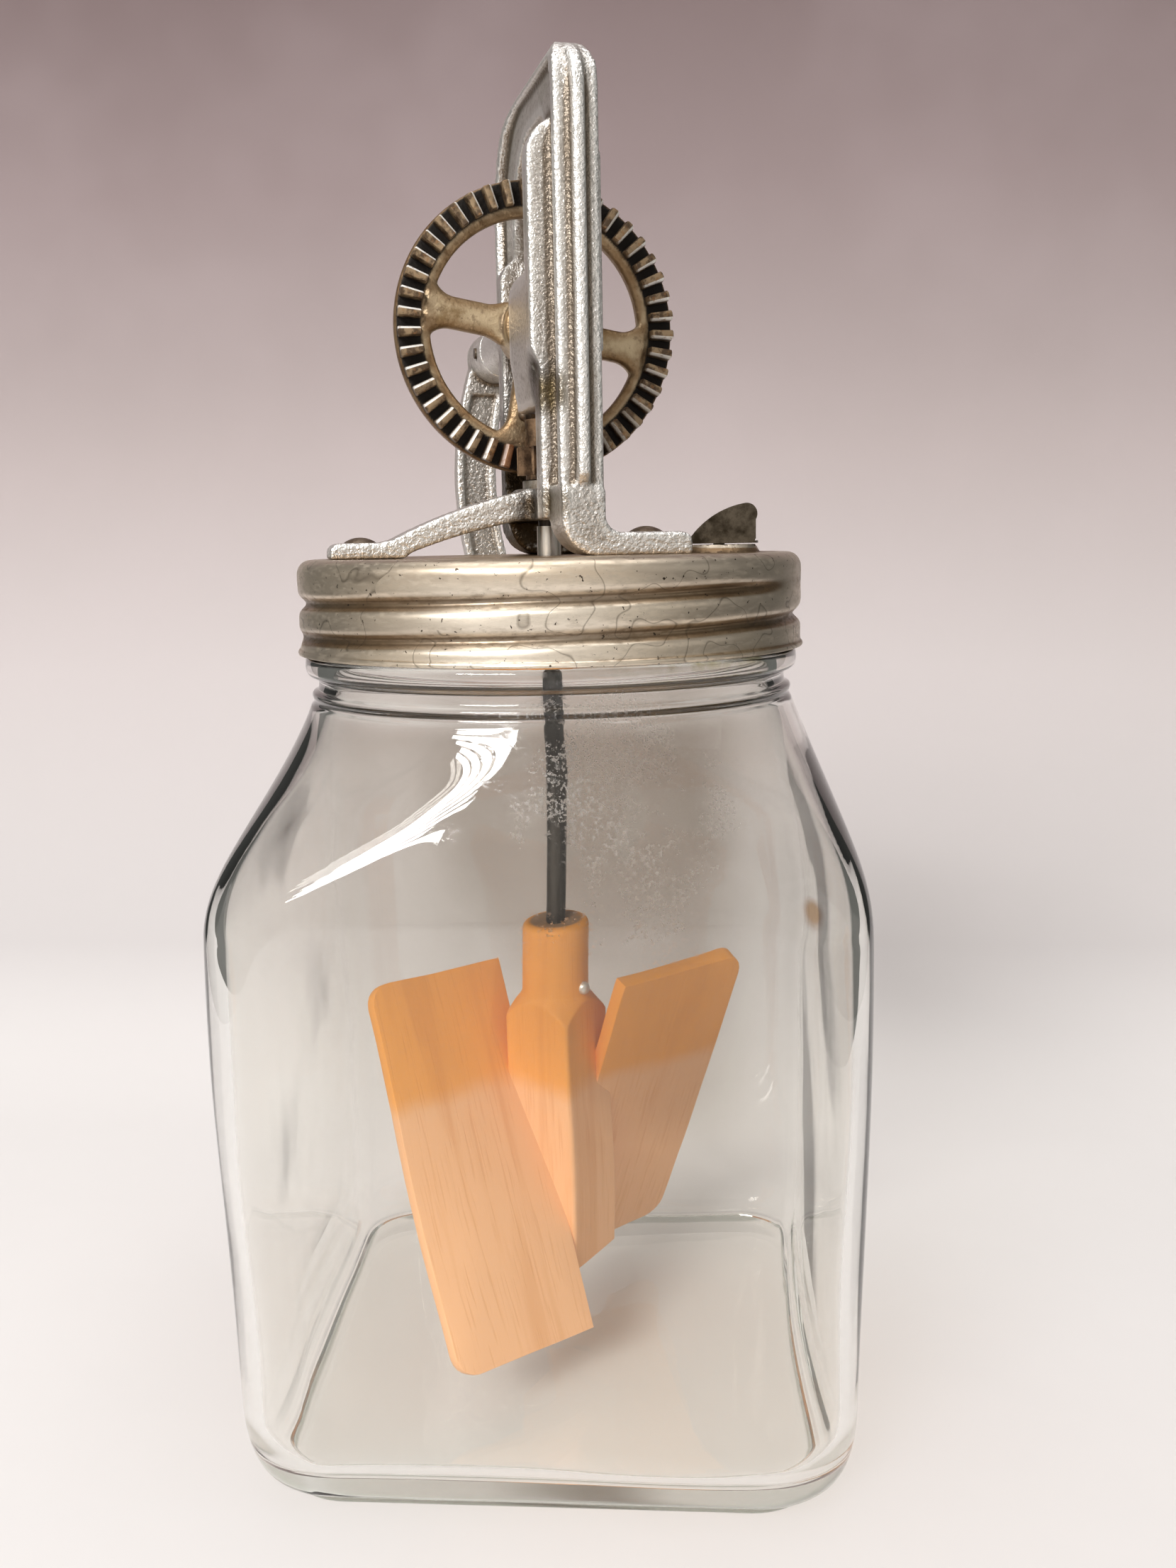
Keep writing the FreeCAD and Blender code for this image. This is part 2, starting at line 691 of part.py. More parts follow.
def make_lid():
    """Pressed sheet lid: flat top with a raised vent boss, and a side with one formed thread."""
    body = new_body("lid_shell")
    wall = new_sketch(body, "XZ_Plane")
    inner = d.lid_radius - d.lid_sheet
    edge = d.lid_edge
    low = d.bead_high + d.face_gap
    draw(wall, [
        (0, d.lid_top - d.lid_sheet), (d.lid_radius - edge, d.lid_top - d.lid_sheet, -(edge - d.lid_sheet)),
        (inner, d.lid_top - edge), (inner, low), (d.lid_radius, low, d.lid_bead),
        (d.lid_radius + d.lid_bead, low + d.lid_bead, d.lid_bead), (d.lid_radius, low + 2.0 * d.lid_bead),
        (d.lid_radius, d.lid_top - edge, edge),
        (d.lid_radius - edge, d.lid_top), (0, d.lid_top),
    ])
    revolve(body, wall)
    boss = new_sketch(body, "XY_Plane", d.lid_top - d.lid_sheet)
    vent_x, vent_y = d.vent_place * cosine(d.vent_yaw), d.vent_place * sine(d.vent_yaw)
    draw_circle(boss, vent_x, vent_y, d.vent_boss_radius)
    extrude(body, boss, d.lid_sheet + d.vent_boss_rise)
    hollow = new_sketch(body, "XY_Plane", d.lid_top - d.lid_sheet)
    draw_circle(hollow, vent_x, vent_y, d.vent_boss_radius - d.lid_sheet)
    extrude(body, hollow, d.vent_boss_rise, "Pocket", reverse=True)
    holes = new_sketch(body, "XY_Plane", d.lid_top + d.vent_boss_rise + 1.0)
    draw_circle(holes, 0, 0, d.tube_radius + d.pin_clear)
    for x, y, rise in frame_spots():
        yaw = d.mechanism_yaw
        draw_circle(holes, x * cosine(yaw) - y * sine(yaw), x * sine(yaw) + y * cosine(yaw),
                    d.rivet_radius + d.pin_clear)
    draw_circle(holes, vent_x, vent_y, d.vent_rivet_radius + d.pin_clear)
    draw_circle(holes, vent_x - d.vent_hole_place * cosine(d.vent_yaw),
                vent_y - d.vent_hole_place * sine(d.vent_yaw), d.vent_hole_radius)
    extrude(body, holes, d.vent_boss_rise + d.lid_sheet * 3.0 + 1.0, "Pocket")
    centre = d.lid_radius - d.groove_depth + d.groove_wire
    turns = d.thread_turns
    outer = helix_sweep("groove_metal", centre, d.groove_wire + d.lid_sheet, d.groove_start, turns,
                        d.groove_azimuth)
    groove = helix_sweep("groove_hollow", centre, d.groove_wire, d.groove_start, turns, d.groove_azimuth)
    keep = cylinder("lid_limit", d.lid_radius, d.lid_top + 20.0 - low, (0, 0, low))
    metal = doc.addObject("Part::Common", "groove_inside")
    metal.Base = outer
    metal.Tool = keep
    joined = fuse("lid_joined", [body, metal])
    return finish(cut("screw_lid", joined, [groove]), "screw_lid")


def ring_body(name, inner, outer, low, high):
    """A plain flat ring about Z."""
    return turned_body(name, [(inner, low), (outer, low), (outer, high), (inner, high)])


def make_lid_fittings():
    """Gasket under the lid, and the guide tube that stands in its middle hole."""
    under = d.lid_top - d.lid_sheet
    finish(ring_body("lid_gasket", d.gasket_inner, d.gasket_outer, under - d.gasket_thick, under),
           "lid_gasket")
    bore = d.shaft_radius + d.running_clear
    tube = turned_body("shaft_tube", [
        (bore, d.tube_low), (d.tube_radius, d.tube_low), (d.tube_radius, under - d.tube_collar),
        (d.tube_collar_radius, under - d.tube_collar), (d.tube_collar_radius, under),
        (d.tube_radius, under), (d.tube_radius, d.tube_high), (bore, d.tube_high),
    ])
    finish(tube, "shaft_tube")


def make_frame():
    """The cast frame: a flanged loop round the wheel, the bearing block, two feet and an arched arm."""
    body = new_body("frame_casting")
    front, rear, top = d.frame_front, d.frame_rear, d.frame_top
    flange = d.flange_thick
    fillet, big = d.front_corner, d.rear_corner
    outline = [
        (-front, d.bar_low), (rear, d.bar_low), (rear, top - big, big),
        (rear - big, top), (-front + fillet, top, fillet), (-front, top - fillet),
    ]
    inner = [
        (-front + flange, d.bar_high), (rear - flange, d.bar_high), (rear - flange, top - big, big - flange),
        (rear - big, top - flange), (-front + fillet, top - flange, fillet - flange),
        (-front + flange, top - fillet),
    ]
    corner = d.window_corner
    window = [
        (-d.rib_inner, d.bar_high), (d.rear_pad_front, d.bar_high),
        (d.rear_pad_front, d.window_top - big + corner, big - corner),
        (d.rear_pad_front - big + corner, d.window_top), (-d.rib_inner + corner, d.window_top, corner),
        (-d.rib_inner, d.window_top - corner),
    ]
    band = new_sketch(body, "YZ_Plane")
    draw(band, outline)
    draw(band, inner)
    extrude(body, band, d.flange_width, symmetric=True)
    web = new_sketch(body, "YZ_Plane")
    draw(web, outline)
    draw(web, window)
    extrude(body, web, d.web_width, symmetric=True)
    filed = new_sketch(body, "YZ_Plane")
    rise = d.filed_rib_rise
    draw(filed, [
        (-front + 1.0, d.bar_high - 2.0), (-front + 1.0, top - fillet),
        (-front + fillet + rise, top - 1.0, fillet + rise - 1.0),
        (-front - rise, top - fillet - rise), (-front - rise, d.bar_high + 2.0),
    ])
    extrude(body, filed, d.filed_rib_width, symmetric=True)
    rib = new_sketch(body, "XZ_Plane", d.rib_inner)
    half, low_half = d.rib_half, d.rib_low_half
    draw(rib, [
        (-low_half, d.bar_low), (low_half, d.bar_low), (low_half, d.rib_step_height),
        (half, d.rib_step_height + 4.0), (half, d.rib_top - half, half), (0, d.rib_top, half),
        (-half, d.rib_top - half),
        (-half, d.rib_step_height + 4.0), (-low_half, d.rib_step_height),
    ])
    extrude(body, rib, d.rib_outer - d.rib_inner)
    block = new_sketch(body, "XZ_Plane", -d.block_rear)
    half, low_half = d.block_half, d.block_low_half
    draw(block, [
        (-low_half, d.block_low), (low_half, d.block_low), (half, d.axle_height - half),
        (half, d.block_top - half, half), (0, d.block_top, half), (-half, d.block_top - half),
        (-half, d.axle_height - half),
    ])
    extrude(body, block, d.block_rear + d.rib_inner + 1.0)
    pad = new_sketch(body, "XZ_Plane", -d.rear_pad_rear)
    half = d.rear_pad_half
    draw(pad, [
        (-half, d.bar_low), (half, d.bar_low), (half, d.rear_pad_top - half, half),
        (0, d.rear_pad_top, half), (-half, d.rear_pad_top - half),
    ])
    extrude(body, pad, d.rear_pad_rear - d.rear_pad_front)
    strip = new_sketch(body, "XZ_Plane", -d.rear_pad_front - 1.0)
    half = d.strip_width * 0.5
    draw(strip, [
        (-half, d.bar_high + 2.0), (half, d.bar_high + 2.0), (half, d.rear_pad_top - half - 2.0, half),
        (0, d.rear_pad_top - 2.0, half), (-half, d.rear_pad_top - half - 2.0),
    ])
    extrude(body, strip, 1.0 + d.strip_rise)
    boss = new_sketch(body, "XZ_Plane", -d.rear_boss_end)
    draw_circle(boss, 0, d.axle_height, d.rear_boss_radius)
    extrude(body, boss, d.rear_boss_end - d.rear_pad_front)
    lug = new_sketch(body, "XY_Plane", d.bar_low)
    draw_circle(lug, 0, 0, d.shaft_boss_radius)
    extrude(body, lug, d.bar_high - d.bar_low)
    foot_outline = [
        (-d.flange_width * 0.5, d.bar_high - 1.0),
        (-d.flange_width * 0.5, d.lid_top + d.foot_bend, d.foot_bend),
        (-d.flange_width * 0.5 + d.foot_bend, d.lid_top), (d.foot_end, d.lid_top),
        (d.foot_end, d.lid_top + d.foot_rise - 3.0, 3.0), (d.foot_end - 3.0, d.lid_top + d.foot_rise),
        (d.flange_width * 0.5 + 4.0, d.lid_top + d.foot_rise, -4.0),
        (d.flange_width * 0.5, d.lid_top + d.foot_rise + 4.0), (d.flange_width * 0.5, d.bar_high - 1.0),
    ]
    for depth in (d.foot_inner, -(d.foot_inner + d.foot_width - 1.0)):
        foot = new_sketch(body, "XZ_Plane", depth)
        draw(foot, foot_outline)
        extrude(body, foot, d.foot_width)
    arm = new_sketch(body, "XZ_Plane", -d.arm_width * 0.5)
    pad_top = d.lid_top + d.arm_pad_rise
    draw(arm, [
        (-d.arm_end, d.lid_top), (-d.arm_arch_start - 2.0, d.lid_top),
        (-d.arm_arch_start, d.lid_top + 1.5, -d.arm_under_radius), (-2.4, d.bar_low + 0.9),
        (0, d.bar_low + 0.9), (0, d.bar_high), (-4.0, d.bar_high, d.arm_top_radius),
        (-d.arm_pad_inner, pad_top + 0.6), (-d.arm_pad_inner - 3.0, pad_top),
        (-d.arm_end + 2.5, pad_top, 2.5), (-d.arm_end, pad_top - 2.5),
    ])
    extrude(body, arm, d.arm_width)
    bore = new_sketch(body, "XZ_Plane", -d.rear_boss_end - 1.0)
    draw_circle(bore, 0, d.axle_height, d.axle_radius + d.running_clear)
    extrude(body, bore, d.rear_boss_end + d.axle_front + 1.5, "Pocket", reverse=True)
    shaft = new_sketch(body, "XY_Plane", d.bar_low - 1.0)
    draw_circle(shaft, 0, 0, d.shaft_radius + d.running_clear)
    extrude(body, shaft, d.shaft_top + d.face_gap - d.bar_low + 1.0, "Pocket", reverse=True)
    holes = new_sketch(body, "XY_Plane", d.lid_top + d.foot_rise + 1.0)
    for x, y, rise in frame_spots():
        draw_circle(holes, x, y, d.rivet_radius + d.pin_clear)
    extrude(body, holes, d.foot_rise + 2.0, "Pocket")
    finish(place(body, yaw=d.mechanism_yaw), "frame")


def make_frame_rivets():
    """Three round-head rivets through the feet and the lid, one solid each."""
    rivets = []
    under = d.lid_top - d.lid_sheet
    for number, (x, y, rise) in enumerate(frame_spots()):
        seat = d.lid_top + rise
        crown = seat + d.rivet_head_rise
        swell = (d.rivet_head_radius * d.rivet_head_radius
                 + d.rivet_head_rise * d.rivet_head_rise) / (2.0 * d.rivet_head_rise)
        rivet = turned_body("frame_rivet_%d" % (number + 1), [
            (0, under - 1.2), (d.rivet_head_radius - 0.6, under - 1.2), (d.rivet_head_radius - 0.6, under),
            (d.rivet_radius, under), (d.rivet_radius, seat), (d.rivet_head_radius, seat, swell), (0, crown),
        ])
        place(rivet, x, y, base_yaw=d.mechanism_yaw)
        rivets.append(rivet)
    group = doc.addObject("Part::Compound", "frame_rivets")
    group.Links = rivets
    finish(group, "frame_rivets")


def wheel_frame(thing):
    """Put a piece drawn about the axle's middle line into its place."""
    return place(thing, z=d.axle_height, yaw=d.mechanism_yaw)


def make_drive_wheel():
    """Face gear: radial teeth on the front of a rim, four spokes with flared ends, and a long hub."""
    body = new_body("wheel_casting")
    rim = new_sketch(body, "XZ_Plane", -d.rim_back)
    draw_circle(rim, 0, 0, d.rim_outer)
    draw_circle(rim, 0, 0, d.rim_inner)
    extrude(body, rim, d.rim_back - d.tooth_root_plane)
    hub = new_sketch(body, "XZ_Plane", -d.hub_back)
    draw_circle(hub, 0, 0, d.hub_radius)
    hub_pad = extrude(body, hub, d.hub_back - d.hub_front)
    half, flare, reach = d.spoke_width * 0.5, d.spoke_flare, d.rim_inner + 0.4
    spoke = new_sketch(body, "XZ_Plane", -d.rim_back, d.spoke_azimuth)
    draw(spoke, [
        (d.hub_radius - 2.0, -half), (reach - flare, -half, -flare), (reach, -half - flare),
        (reach + 1.5, -half - flare), (reach + 1.5, half + flare), (reach, half + flare, -flare),
        (reach - flare, half), (d.hub_radius - 2.0, half),
    ])
    spoke_pad = extrude(body, spoke, d.rim_back - d.spoke_front)
    repeat_round(body, [spoke_pad], "Y_Axis", d.spoke_count)
    sections = []
    root_plane = d.tooth_root_plane + 0.3
    for radius in (d.tooth_inner, d.tooth_outer):
        share = radius / d.tooth_mean
        tip, foot = d.tooth_tip_half * share, d.tooth_root_half * share
        sketch = new_sketch(body, "XY_Plane", -radius)
        draw(sketch, [(-tip, d.tooth_tip_plane), (tip, d.tooth_tip_plane), (foot, root_plane),
                      (-foot, root_plane)])
        sketch.Visibility = False
        sections.append(sketch)
    tooth = body.newObject("PartDesign::AdditiveLoft", "wheel_tooth")
    tooth.Profile = sections[0]
    tooth.Sections = sections[1:]
    tooth.Ruled = True
    repeat_round(body, [tooth], "Y_Axis", d.wheel_teeth)
    bore = new_sketch(body, "XZ_Plane", -d.hub_back - 1.0)
    draw_circle(bore, 0, 0, d.axle_radius + d.pin_clear)
    extrude(body, bore, d.hub_back - d.hub_front + 2.0, "Pocket", reverse=True)
    pin = new_sketch(body, "YZ_Plane", -d.hub_radius - 1.0)
    draw_circle(pin, d.wheel_pin_place, 0, d.wheel_pin_radius + d.pin_clear)
    extrude(body, pin, 2.0 * d.hub_radius + 2.0, "Pocket", reverse=True)
    screw = new_sketch(body, "XZ_Plane", -d.rim_back - 1.0, d.spoke_azimuth - 90.0)
    draw_circle(screw, d.screw_place, 0, d.screw_radius + d.pin_clear)
    extrude(body, screw, d.rim_back - d.spoke_front + 2.0, "Pocket", reverse=True)
    finish(wheel_frame(body), "drive_wheel")


def make_wheel_fittings():
    """Axle, its washer and cross pins, and the small screw in the lower spoke."""
    bar = turned_body("axle_bar", [
        (-d.axle_front, 0), (d.axle_end, 0), (d.axle_end, d.axle_radius - 0.6),
        (d.axle_end - 0.6, d.axle_radius), (-d.axle_front + 0.6, d.axle_radius),
        (-d.axle_front, d.axle_radius - 0.6),
    ], along_y=True)
    reach = 2.0 * d.axle_radius + 2.0
    holes = []
    for name, spot, radius in (("wheel_hole", d.wheel_pin_place, d.wheel_pin_radius),
                               ("crank_hole", d.crank_pin_place, d.crank_pin_radius)):
        holes.append(cylinder(name, radius + d.pin_clear, reach, (-reach * 0.5, spot, 0), "x"))
    finish(wheel_frame(cut("wheel_axle", bar, holes)), "wheel_axle")
    length = 2.0 * d.hub_radius - 0.6
    pin = cylinder("wheel_pin", d.wheel_pin_radius, length, (0, 0, 0), "x")
    finish(place_pin(pin, length, d.wheel_pin_place, d.axle_height), "wheel_pin")
    low = d.hub_back + d.face_gap
    washer = turned_body("axle_washer", [
        (low, d.axle_radius + d.pin_clear), (low + d.axle_washer_thick, d.axle_radius + d.pin_clear),
        (low + d.axle_washer_thick, d.axle_washer_radius), (low, d.axle_washer_radius),
    ], along_y=True)
    finish(wheel_frame(washer), "axle_washer")
    crown = d.spoke_front - d.screw_head_rise
    swell = (d.screw_head_radius * d.screw_head_radius
             + d.screw_head_rise * d.screw_head_rise) / (2.0 * d.screw_head_rise)
    screw = turned_body("spoke_screw", [
        (crown, 0), (d.rim_back, 0), (d.rim_back, d.screw_radius), (d.spoke_front, d.screw_radius),
        (d.spoke_front, d.screw_head_radius, swell),
    ], along_y=True)
    azimuth = d.spoke_azimuth - 90.0
    place(screw, d.screw_place * cosine(azimuth), 0, d.axle_height + d.screw_place * sine(azimuth),
          d.mechanism_yaw, d.mechanism_yaw)
    finish(screw, "spoke_screw")


def place_pin(pin, length, depth, height):
    """Lay a cross pin along the mechanism's x, centred on its shaft or axle."""
    yaw = d.mechanism_yaw
    x, y = -length * 0.5, as_size(depth)
    pin.Placement = Placement(Vector(), Rotation(Vector(0, 0, 1), yaw.value) * Rotation(Vector(0, 1, 0), 90))
    spot = (x * cosine(yaw) - y * sine(yaw), x * sine(yaw) + y * cosine(yaw), as_size(height))
    for letter, size in zip("xyz", spot):
        pin.setExpression("Placement.Base." + letter, size.formula)
    return pin


def make_crank():
    """Bowed crank arm with raised edges, its hub and pin, the knob's spindle, washer and wooden knob."""
    body = new_body("crank_casting")
    reach, bow = d.crank_reach, d.crank_bow
    sweep = (reach * reach * 0.25 + bow * bow) / (2.0 * bow)
    centre_x = sweep - bow

    def band(sketch, half, ends):
        """The bowed band of this half width, cut off at both ends where the round bosses take over."""
        near, far = sweep - half, sweep + half
        up_x, up_z = -centre_x / sweep, reach * 0.5 / sweep
        middle_z = -reach * 0.5
        draw(sketch, [
            (centre_x + up_x * far, middle_z + up_z * far * ends, far),
            (centre_x + up_x * far, middle_z - up_z * far * ends),
            (centre_x + up_x * near, middle_z - up_z * near * ends, -near),
            (centre_x + up_x * near, middle_z + up_z * near * ends),
        ])

    arm = new_sketch(body, "XZ_Plane", -d.crank_front - d.crank_thick)
    band(arm, d.crank_width * 0.5, 1.0)
    extrude(body, arm, d.crank_thick)
    for offset, length, spot, radius in (
            (d.crank_front + d.crank_thick, d.crank_front + d.crank_thick - d.crank_hub_front, 0,
             d.crank_hub_radius),
            (d.crank_front + d.crank_thick, d.crank_thick, -reach, d.crank_eye_radius)):
        boss = new_sketch(body, "XZ_Plane", -offset)
        draw_circle(boss, 0, spot, radius)
        extrude(body, boss, length)
    for offset in (d.crank_front + d.crank_recess, d.crank_front + d.crank_thick + 1.0):
        recess = new_sketch(body, "XZ_Plane", -offset)
        keep = reach - 2.0 * d.crank_hub_radius - 6.0
        half = d.crank_width * 0.5 - d.crank_rim
        middle_z = -reach * 0.5
        near, far = sweep - half, sweep + half
        rise = keep * 0.5
        draw(recess, [
            (centre_x - root(far * far - rise * rise), middle_z + rise, far),
            (centre_x - root(far * far - rise * rise), middle_z - rise),
            (centre_x - root(near * near - rise * rise), middle_z - rise, -near),
            (centre_x - root(near * near - rise * rise), middle_z + rise),
        ])
        extrude(body, recess, d.crank_recess + 1.0, "Pocket", reverse=True)
    bore = new_sketch(body, "XZ_Plane", -d.crank_front - d.crank_thick - 1.0)
    draw_circle(bore, 0, 0, d.axle_radius + d.pin_clear)
    draw_circle(bore, 0, -reach, d.spindle_radius + d.pin_clear)
    extrude(body, bore, d.crank_front + d.crank_thick - d.crank_hub_front + 2.0, "Pocket", reverse=True)
    pin = new_sketch(body, "YZ_Plane", -d.crank_hub_radius - 1.0)
    draw_circle(pin, d.crank_pin_place, 0, d.crank_pin_radius + d.pin_clear)
    extrude(body, pin, 2.0 * d.crank_hub_radius + 2.0, "Pocket", reverse=True)
    finish(wheel_frame(body), "crank_arm")

    length = 2.0 * d.crank_hub_radius + 0.8
    pin = cylinder("crank_pin", d.crank_pin_radius, length, (0, 0, 0), "x")
    finish(place_pin(pin, length, d.crank_pin_place, d.axle_height), "crank_pin")

    arm_back = d.crank_front + d.crank_thick
    knob_front = arm_back + d.knob_washer_thick + d.face_gap
    knob_back = knob_front + d.knob_length
    head = knob_back + d.face_gap
    spindle = turned_body("knob_spindle", [
        (d.crank_front, 0), (head + d.spindle_head_rise, 0),
        (head + d.spindle_head_rise, d.spindle_head_radius - 1.2),
        (head + d.spindle_head_rise * 0.4, d.spindle_head_radius), (head, d.spindle_head_radius),
        (head, d.spindle_radius), (d.crank_front, d.spindle_radius),
    ], along_y=True)
    washer = turned_body("knob_washer", [
        (arm_back, d.spindle_radius + d.pin_clear),
        (arm_back + d.knob_washer_thick, d.spindle_radius + d.pin_clear),
        (arm_back + d.knob_washer_thick, d.knob_washer_radius), (arm_back, d.knob_washer_radius),
    ], along_y=True)
    bore = d.spindle_radius + d.running_clear
    swell = d.knob_swell_radius
    widest = knob_front + d.knob_length * 0.6
    knob = turned_body("crank_knob", [
        (knob_front, bore), (knob_back, bore), (knob_back, d.knob_end_radius - 0.5),
        (knob_back - 0.8, d.knob_end_radius, swell * 0.8), (widest, d.knob_radius, swell * 1.6),
        (knob_front + 0.8, d.knob_end_radius), (knob_front, d.knob_end_radius - 0.8),
    ], along_y=True)
    for thing, name in ((spindle, "knob_spindle"), (washer, "knob_washer"), (knob, "crank_knob")):
        place(thing, z=d.axle_height - reach, yaw=d.mechanism_yaw)
        finish(thing, name)


def make_pinion():
    """Small straight-toothed pinion with a hub above and a short one below, pinned to the shaft."""
    body = new_body("pinion_gear")
    core = new_sketch(body, "XZ_Plane")
    hub = d.pinion_hub_radius
    draw(core, [
        (0, d.pinion_low), (hub, d.pinion_low), (hub, d.pinion_teeth_low),
        (d.pinion_core, d.pinion_teeth_low), (d.pinion_core, d.pinion_teeth_high),
        (hub, d.pinion_teeth_high), (hub, d.pinion_high), (0, d.pinion_high),
    ])
    revolve(body, core)
    turn = 180.0 / d.pinion_teeth
    tooth = new_sketch(body, "XY_Plane", d.pinion_teeth_low, turn)
    draw(tooth, [
        (-d.pinion_root_half, d.pinion_core - 0.4), (d.pinion_root_half, d.pinion_core - 0.4),
        (d.pinion_pitch_half, d.pinion_pitch_radius), (d.pinion_tip_half, d.pinion_outer),
        (-d.pinion_tip_half, d.pinion_outer), (-d.pinion_pitch_half, d.pinion_pitch_radius),
    ])
    tooth_pad = extrude(body, tooth, d.pinion_teeth_high - d.pinion_teeth_low)
    repeat_round(body, [tooth_pad], "Z_Axis", d.pinion_teeth)
    bore = new_sketch(body, "XY_Plane", d.pinion_low - 1.0)
    draw_circle(bore, 0, 0, d.shaft_radius + d.pin_clear)
    extrude(body, bore, d.pinion_high - d.pinion_low + 2.0, "Pocket", reverse=True)
    pin = new_sketch(body, "YZ_Plane", -hub - 1.0)
    draw_circle(pin, 0, d.pinion_pin_place, d.pinion_pin_radius + d.pin_clear)
    extrude(body, pin, 2.0 * hub + 2.0, "Pocket", reverse=True)
    finish(place(body, yaw=d.mechanism_yaw), "pinion")
    length = 2.0 * hub - 0.2
    pin = cylinder("pinion_pin", d.pinion_pin_radius, length, (0, 0, 0), "x")
    finish(place_pin(pin, length, 0, d.pinion_pin_place), "pinion_pin")
    finish(ring_body("thrust_washer", d.shaft_radius + d.running_clear, d.thrust_washer_radius,
                     d.bar_high, d.bar_high + d.thrust_washer_thick), "thrust_washer")


def cross_hole(name, radius, length, height, yaw):
    """A cutter across the vertical shaft at this height and direction."""
    bar = cylinder(name, radius, length, (0, 0, 0), "x")
    bar.Placement = Placement(Vector(), Rotation(Vector(0, 0, 1), yaw.value) * Rotation(Vector(0, 1, 0), 90))
    spot = (-length * 0.5 * cosine(yaw), -length * 0.5 * sine(yaw), as_size(height))
    for letter, size in zip("xyz", spot):
        bar.setExpression("Placement.Base." + letter, size.formula)
    return bar


def make_shaft():
    """Steel shaft from the block in the frame down into the dasher's hub."""
    bar = cylinder("shaft_bar", d.shaft_radius, d.shaft_top - d.shaft_low, (0, 0, d.shaft_low))
    reach = 2.0 * d.shaft_radius + 2.0
    holes = [
        cross_hole("shaft_hole_high", d.pinion_pin_radius + d.pin_clear, reach, d.pinion_pin_place,
                   d.mechanism_yaw),
        cross_hole("shaft_hole_low", d.dasher_pin_radius + d.pin_clear, reach, d.dasher_pin_place,
                   d.dasher_yaw),
    ]
    finish(cut("dasher_shaft", bar, holes), "dasher_shaft")


def make_dasher():
    """Square wooden hub with a turned neck, two slanted boards let into it, and the pin."""
    body = new_body("hub_wood")
    profile = new_sketch(body, "XZ_Plane")
    wide, neck = d.dasher_corner_radius, d.dasher_neck_radius
    soft = d.dasher_top_edge
    draw(profile, [
        (0, d.dasher_low), (wide, d.dasher_low), (wide, d.dasher_shoulder), (neck, d.neck_low),
        (neck, d.dasher_top - soft, soft), (neck - soft, d.dasher_top), (0, d.dasher_top),
    ])
    revolve(body, profile)
    sides = new_sketch(body, "XY_Plane", d.dasher_low - 1.0, d.dasher_yaw)
    half, far = d.dasher_side * 0.5, d.dasher_side * 1.5
    draw(sides, [(far, -far), (far, far), (-far, far), (-far, -far)])
    draw(sides, [(half, -half), (half, half), (-half, half), (-half, -half)])
    extrude(body, sides, d.dasher_top - d.dasher_low + 2.0, "Pocket", reverse=True)
    bore = new_sketch(body, "XY_Plane", d.shaft_low - d.face_gap)
    draw_circle(bore, 0, 0, d.shaft_radius + d.pin_clear)
    extrude(body, bore, d.dasher_top - d.shaft_low + 2.0, "Pocket", reverse=True)
    cutters = [cross_hole("neck_hole", d.dasher_pin_radius + d.pin_clear, d.dasher_side * 1.5,
                          d.dasher_pin_place, d.dasher_yaw)]
    for side, name in ((180.0, "dasher_blade_left"), (0.0, "dasher_blade_right")):
        yaw = d.blade_yaw + side
        blade = new_body(name)
        board = new_sketch(blade, "XZ_Plane")
        long, corner = d.blade_length * 0.5, d.blade_corner
        draw(board, [
            (d.blade_inner, -long), (d.blade_outer - corner, -long, corner), (d.blade_outer, -long + corner),
            (d.blade_outer, long - corner, corner), (d.blade_outer - corner, long), (d.blade_inner, long),
        ])
        extrude(blade, board, d.blade_thick, symmetric=True)
        slot = doc.addObject("Part::Box", name + "_slot")
        clear = d.pin_clear
        width, deep, tall = d.dasher_side * 1.5, d.blade_thick + 2.0 * clear, d.blade_length + 2.0 * clear
        slot.setExpression("Length", width.formula)
        slot.setExpression("Width", deep.formula)
        slot.setExpression("Height", tall.formula)
        shift = (d.blade_inner - clear, -deep * 0.5, -tall * 0.5)
        slant = Rotation(Vector(0, 0, 1), yaw.value) * Rotation(Vector(1, 0, 0), d.blade_pitch.value)
        for thing, offset in ((blade, None), (slot, shift)):
            spot = Vector(0, 0, d.blade_place.value)
            if offset is not None:
                spot = spot + slant.multVec(Vector(*[s.value for s in offset]))
            thing.Placement = Placement(spot, slant)
        slanted(blade, None, yaw)
        slanted(slot, shift, yaw)
        cutters.append(slot)
        finish(blade, name)
    finish(cut("dasher_hub", body, cutters), "dasher_hub")
    rise, radius = d.dasher_pin_rise, d.dasher_pin_radius
    end = d.dasher_neck_radius
    swell = (radius * radius + rise * rise) / (2.0 * rise)
    pin = turned_body("dasher_pin", [
        (-end - rise, 0, -swell), (-end, radius), (end, radius, -swell), (end + rise, 0),
    ], along_y=True)
    place(pin, z=d.dasher_pin_place, yaw=d.dasher_yaw - 90.0)
    finish(pin, "dasher_pin")


def slanted(thing, offset, yaw):
    """Bind a board or its slot to the sheet: slanted about its own radius, then turned about Z."""
    slant = d.blade_pitch
    where = [as_size(0), as_size(0), d.blade_place]
    if offset is not None:
        x, y, z = offset
        across, up = y * cosine(slant) - z * sine(slant), y * sine(slant) + z * cosine(slant)
        where = [x * cosine(yaw) - across * sine(yaw), x * sine(yaw) + across * cosine(yaw),
                 d.blade_place + up]
    for letter, size in zip("xyz", where):
        thing.setExpression("Placement.Base." + letter, size.formula)
    formula = "rotation(vector(0; 0; 1); %s) * rotation(vector(1; 0; 0); %s)" % (yaw.formula, slant.formula)
    thing.setExpression("Placement.Rotation", formula)


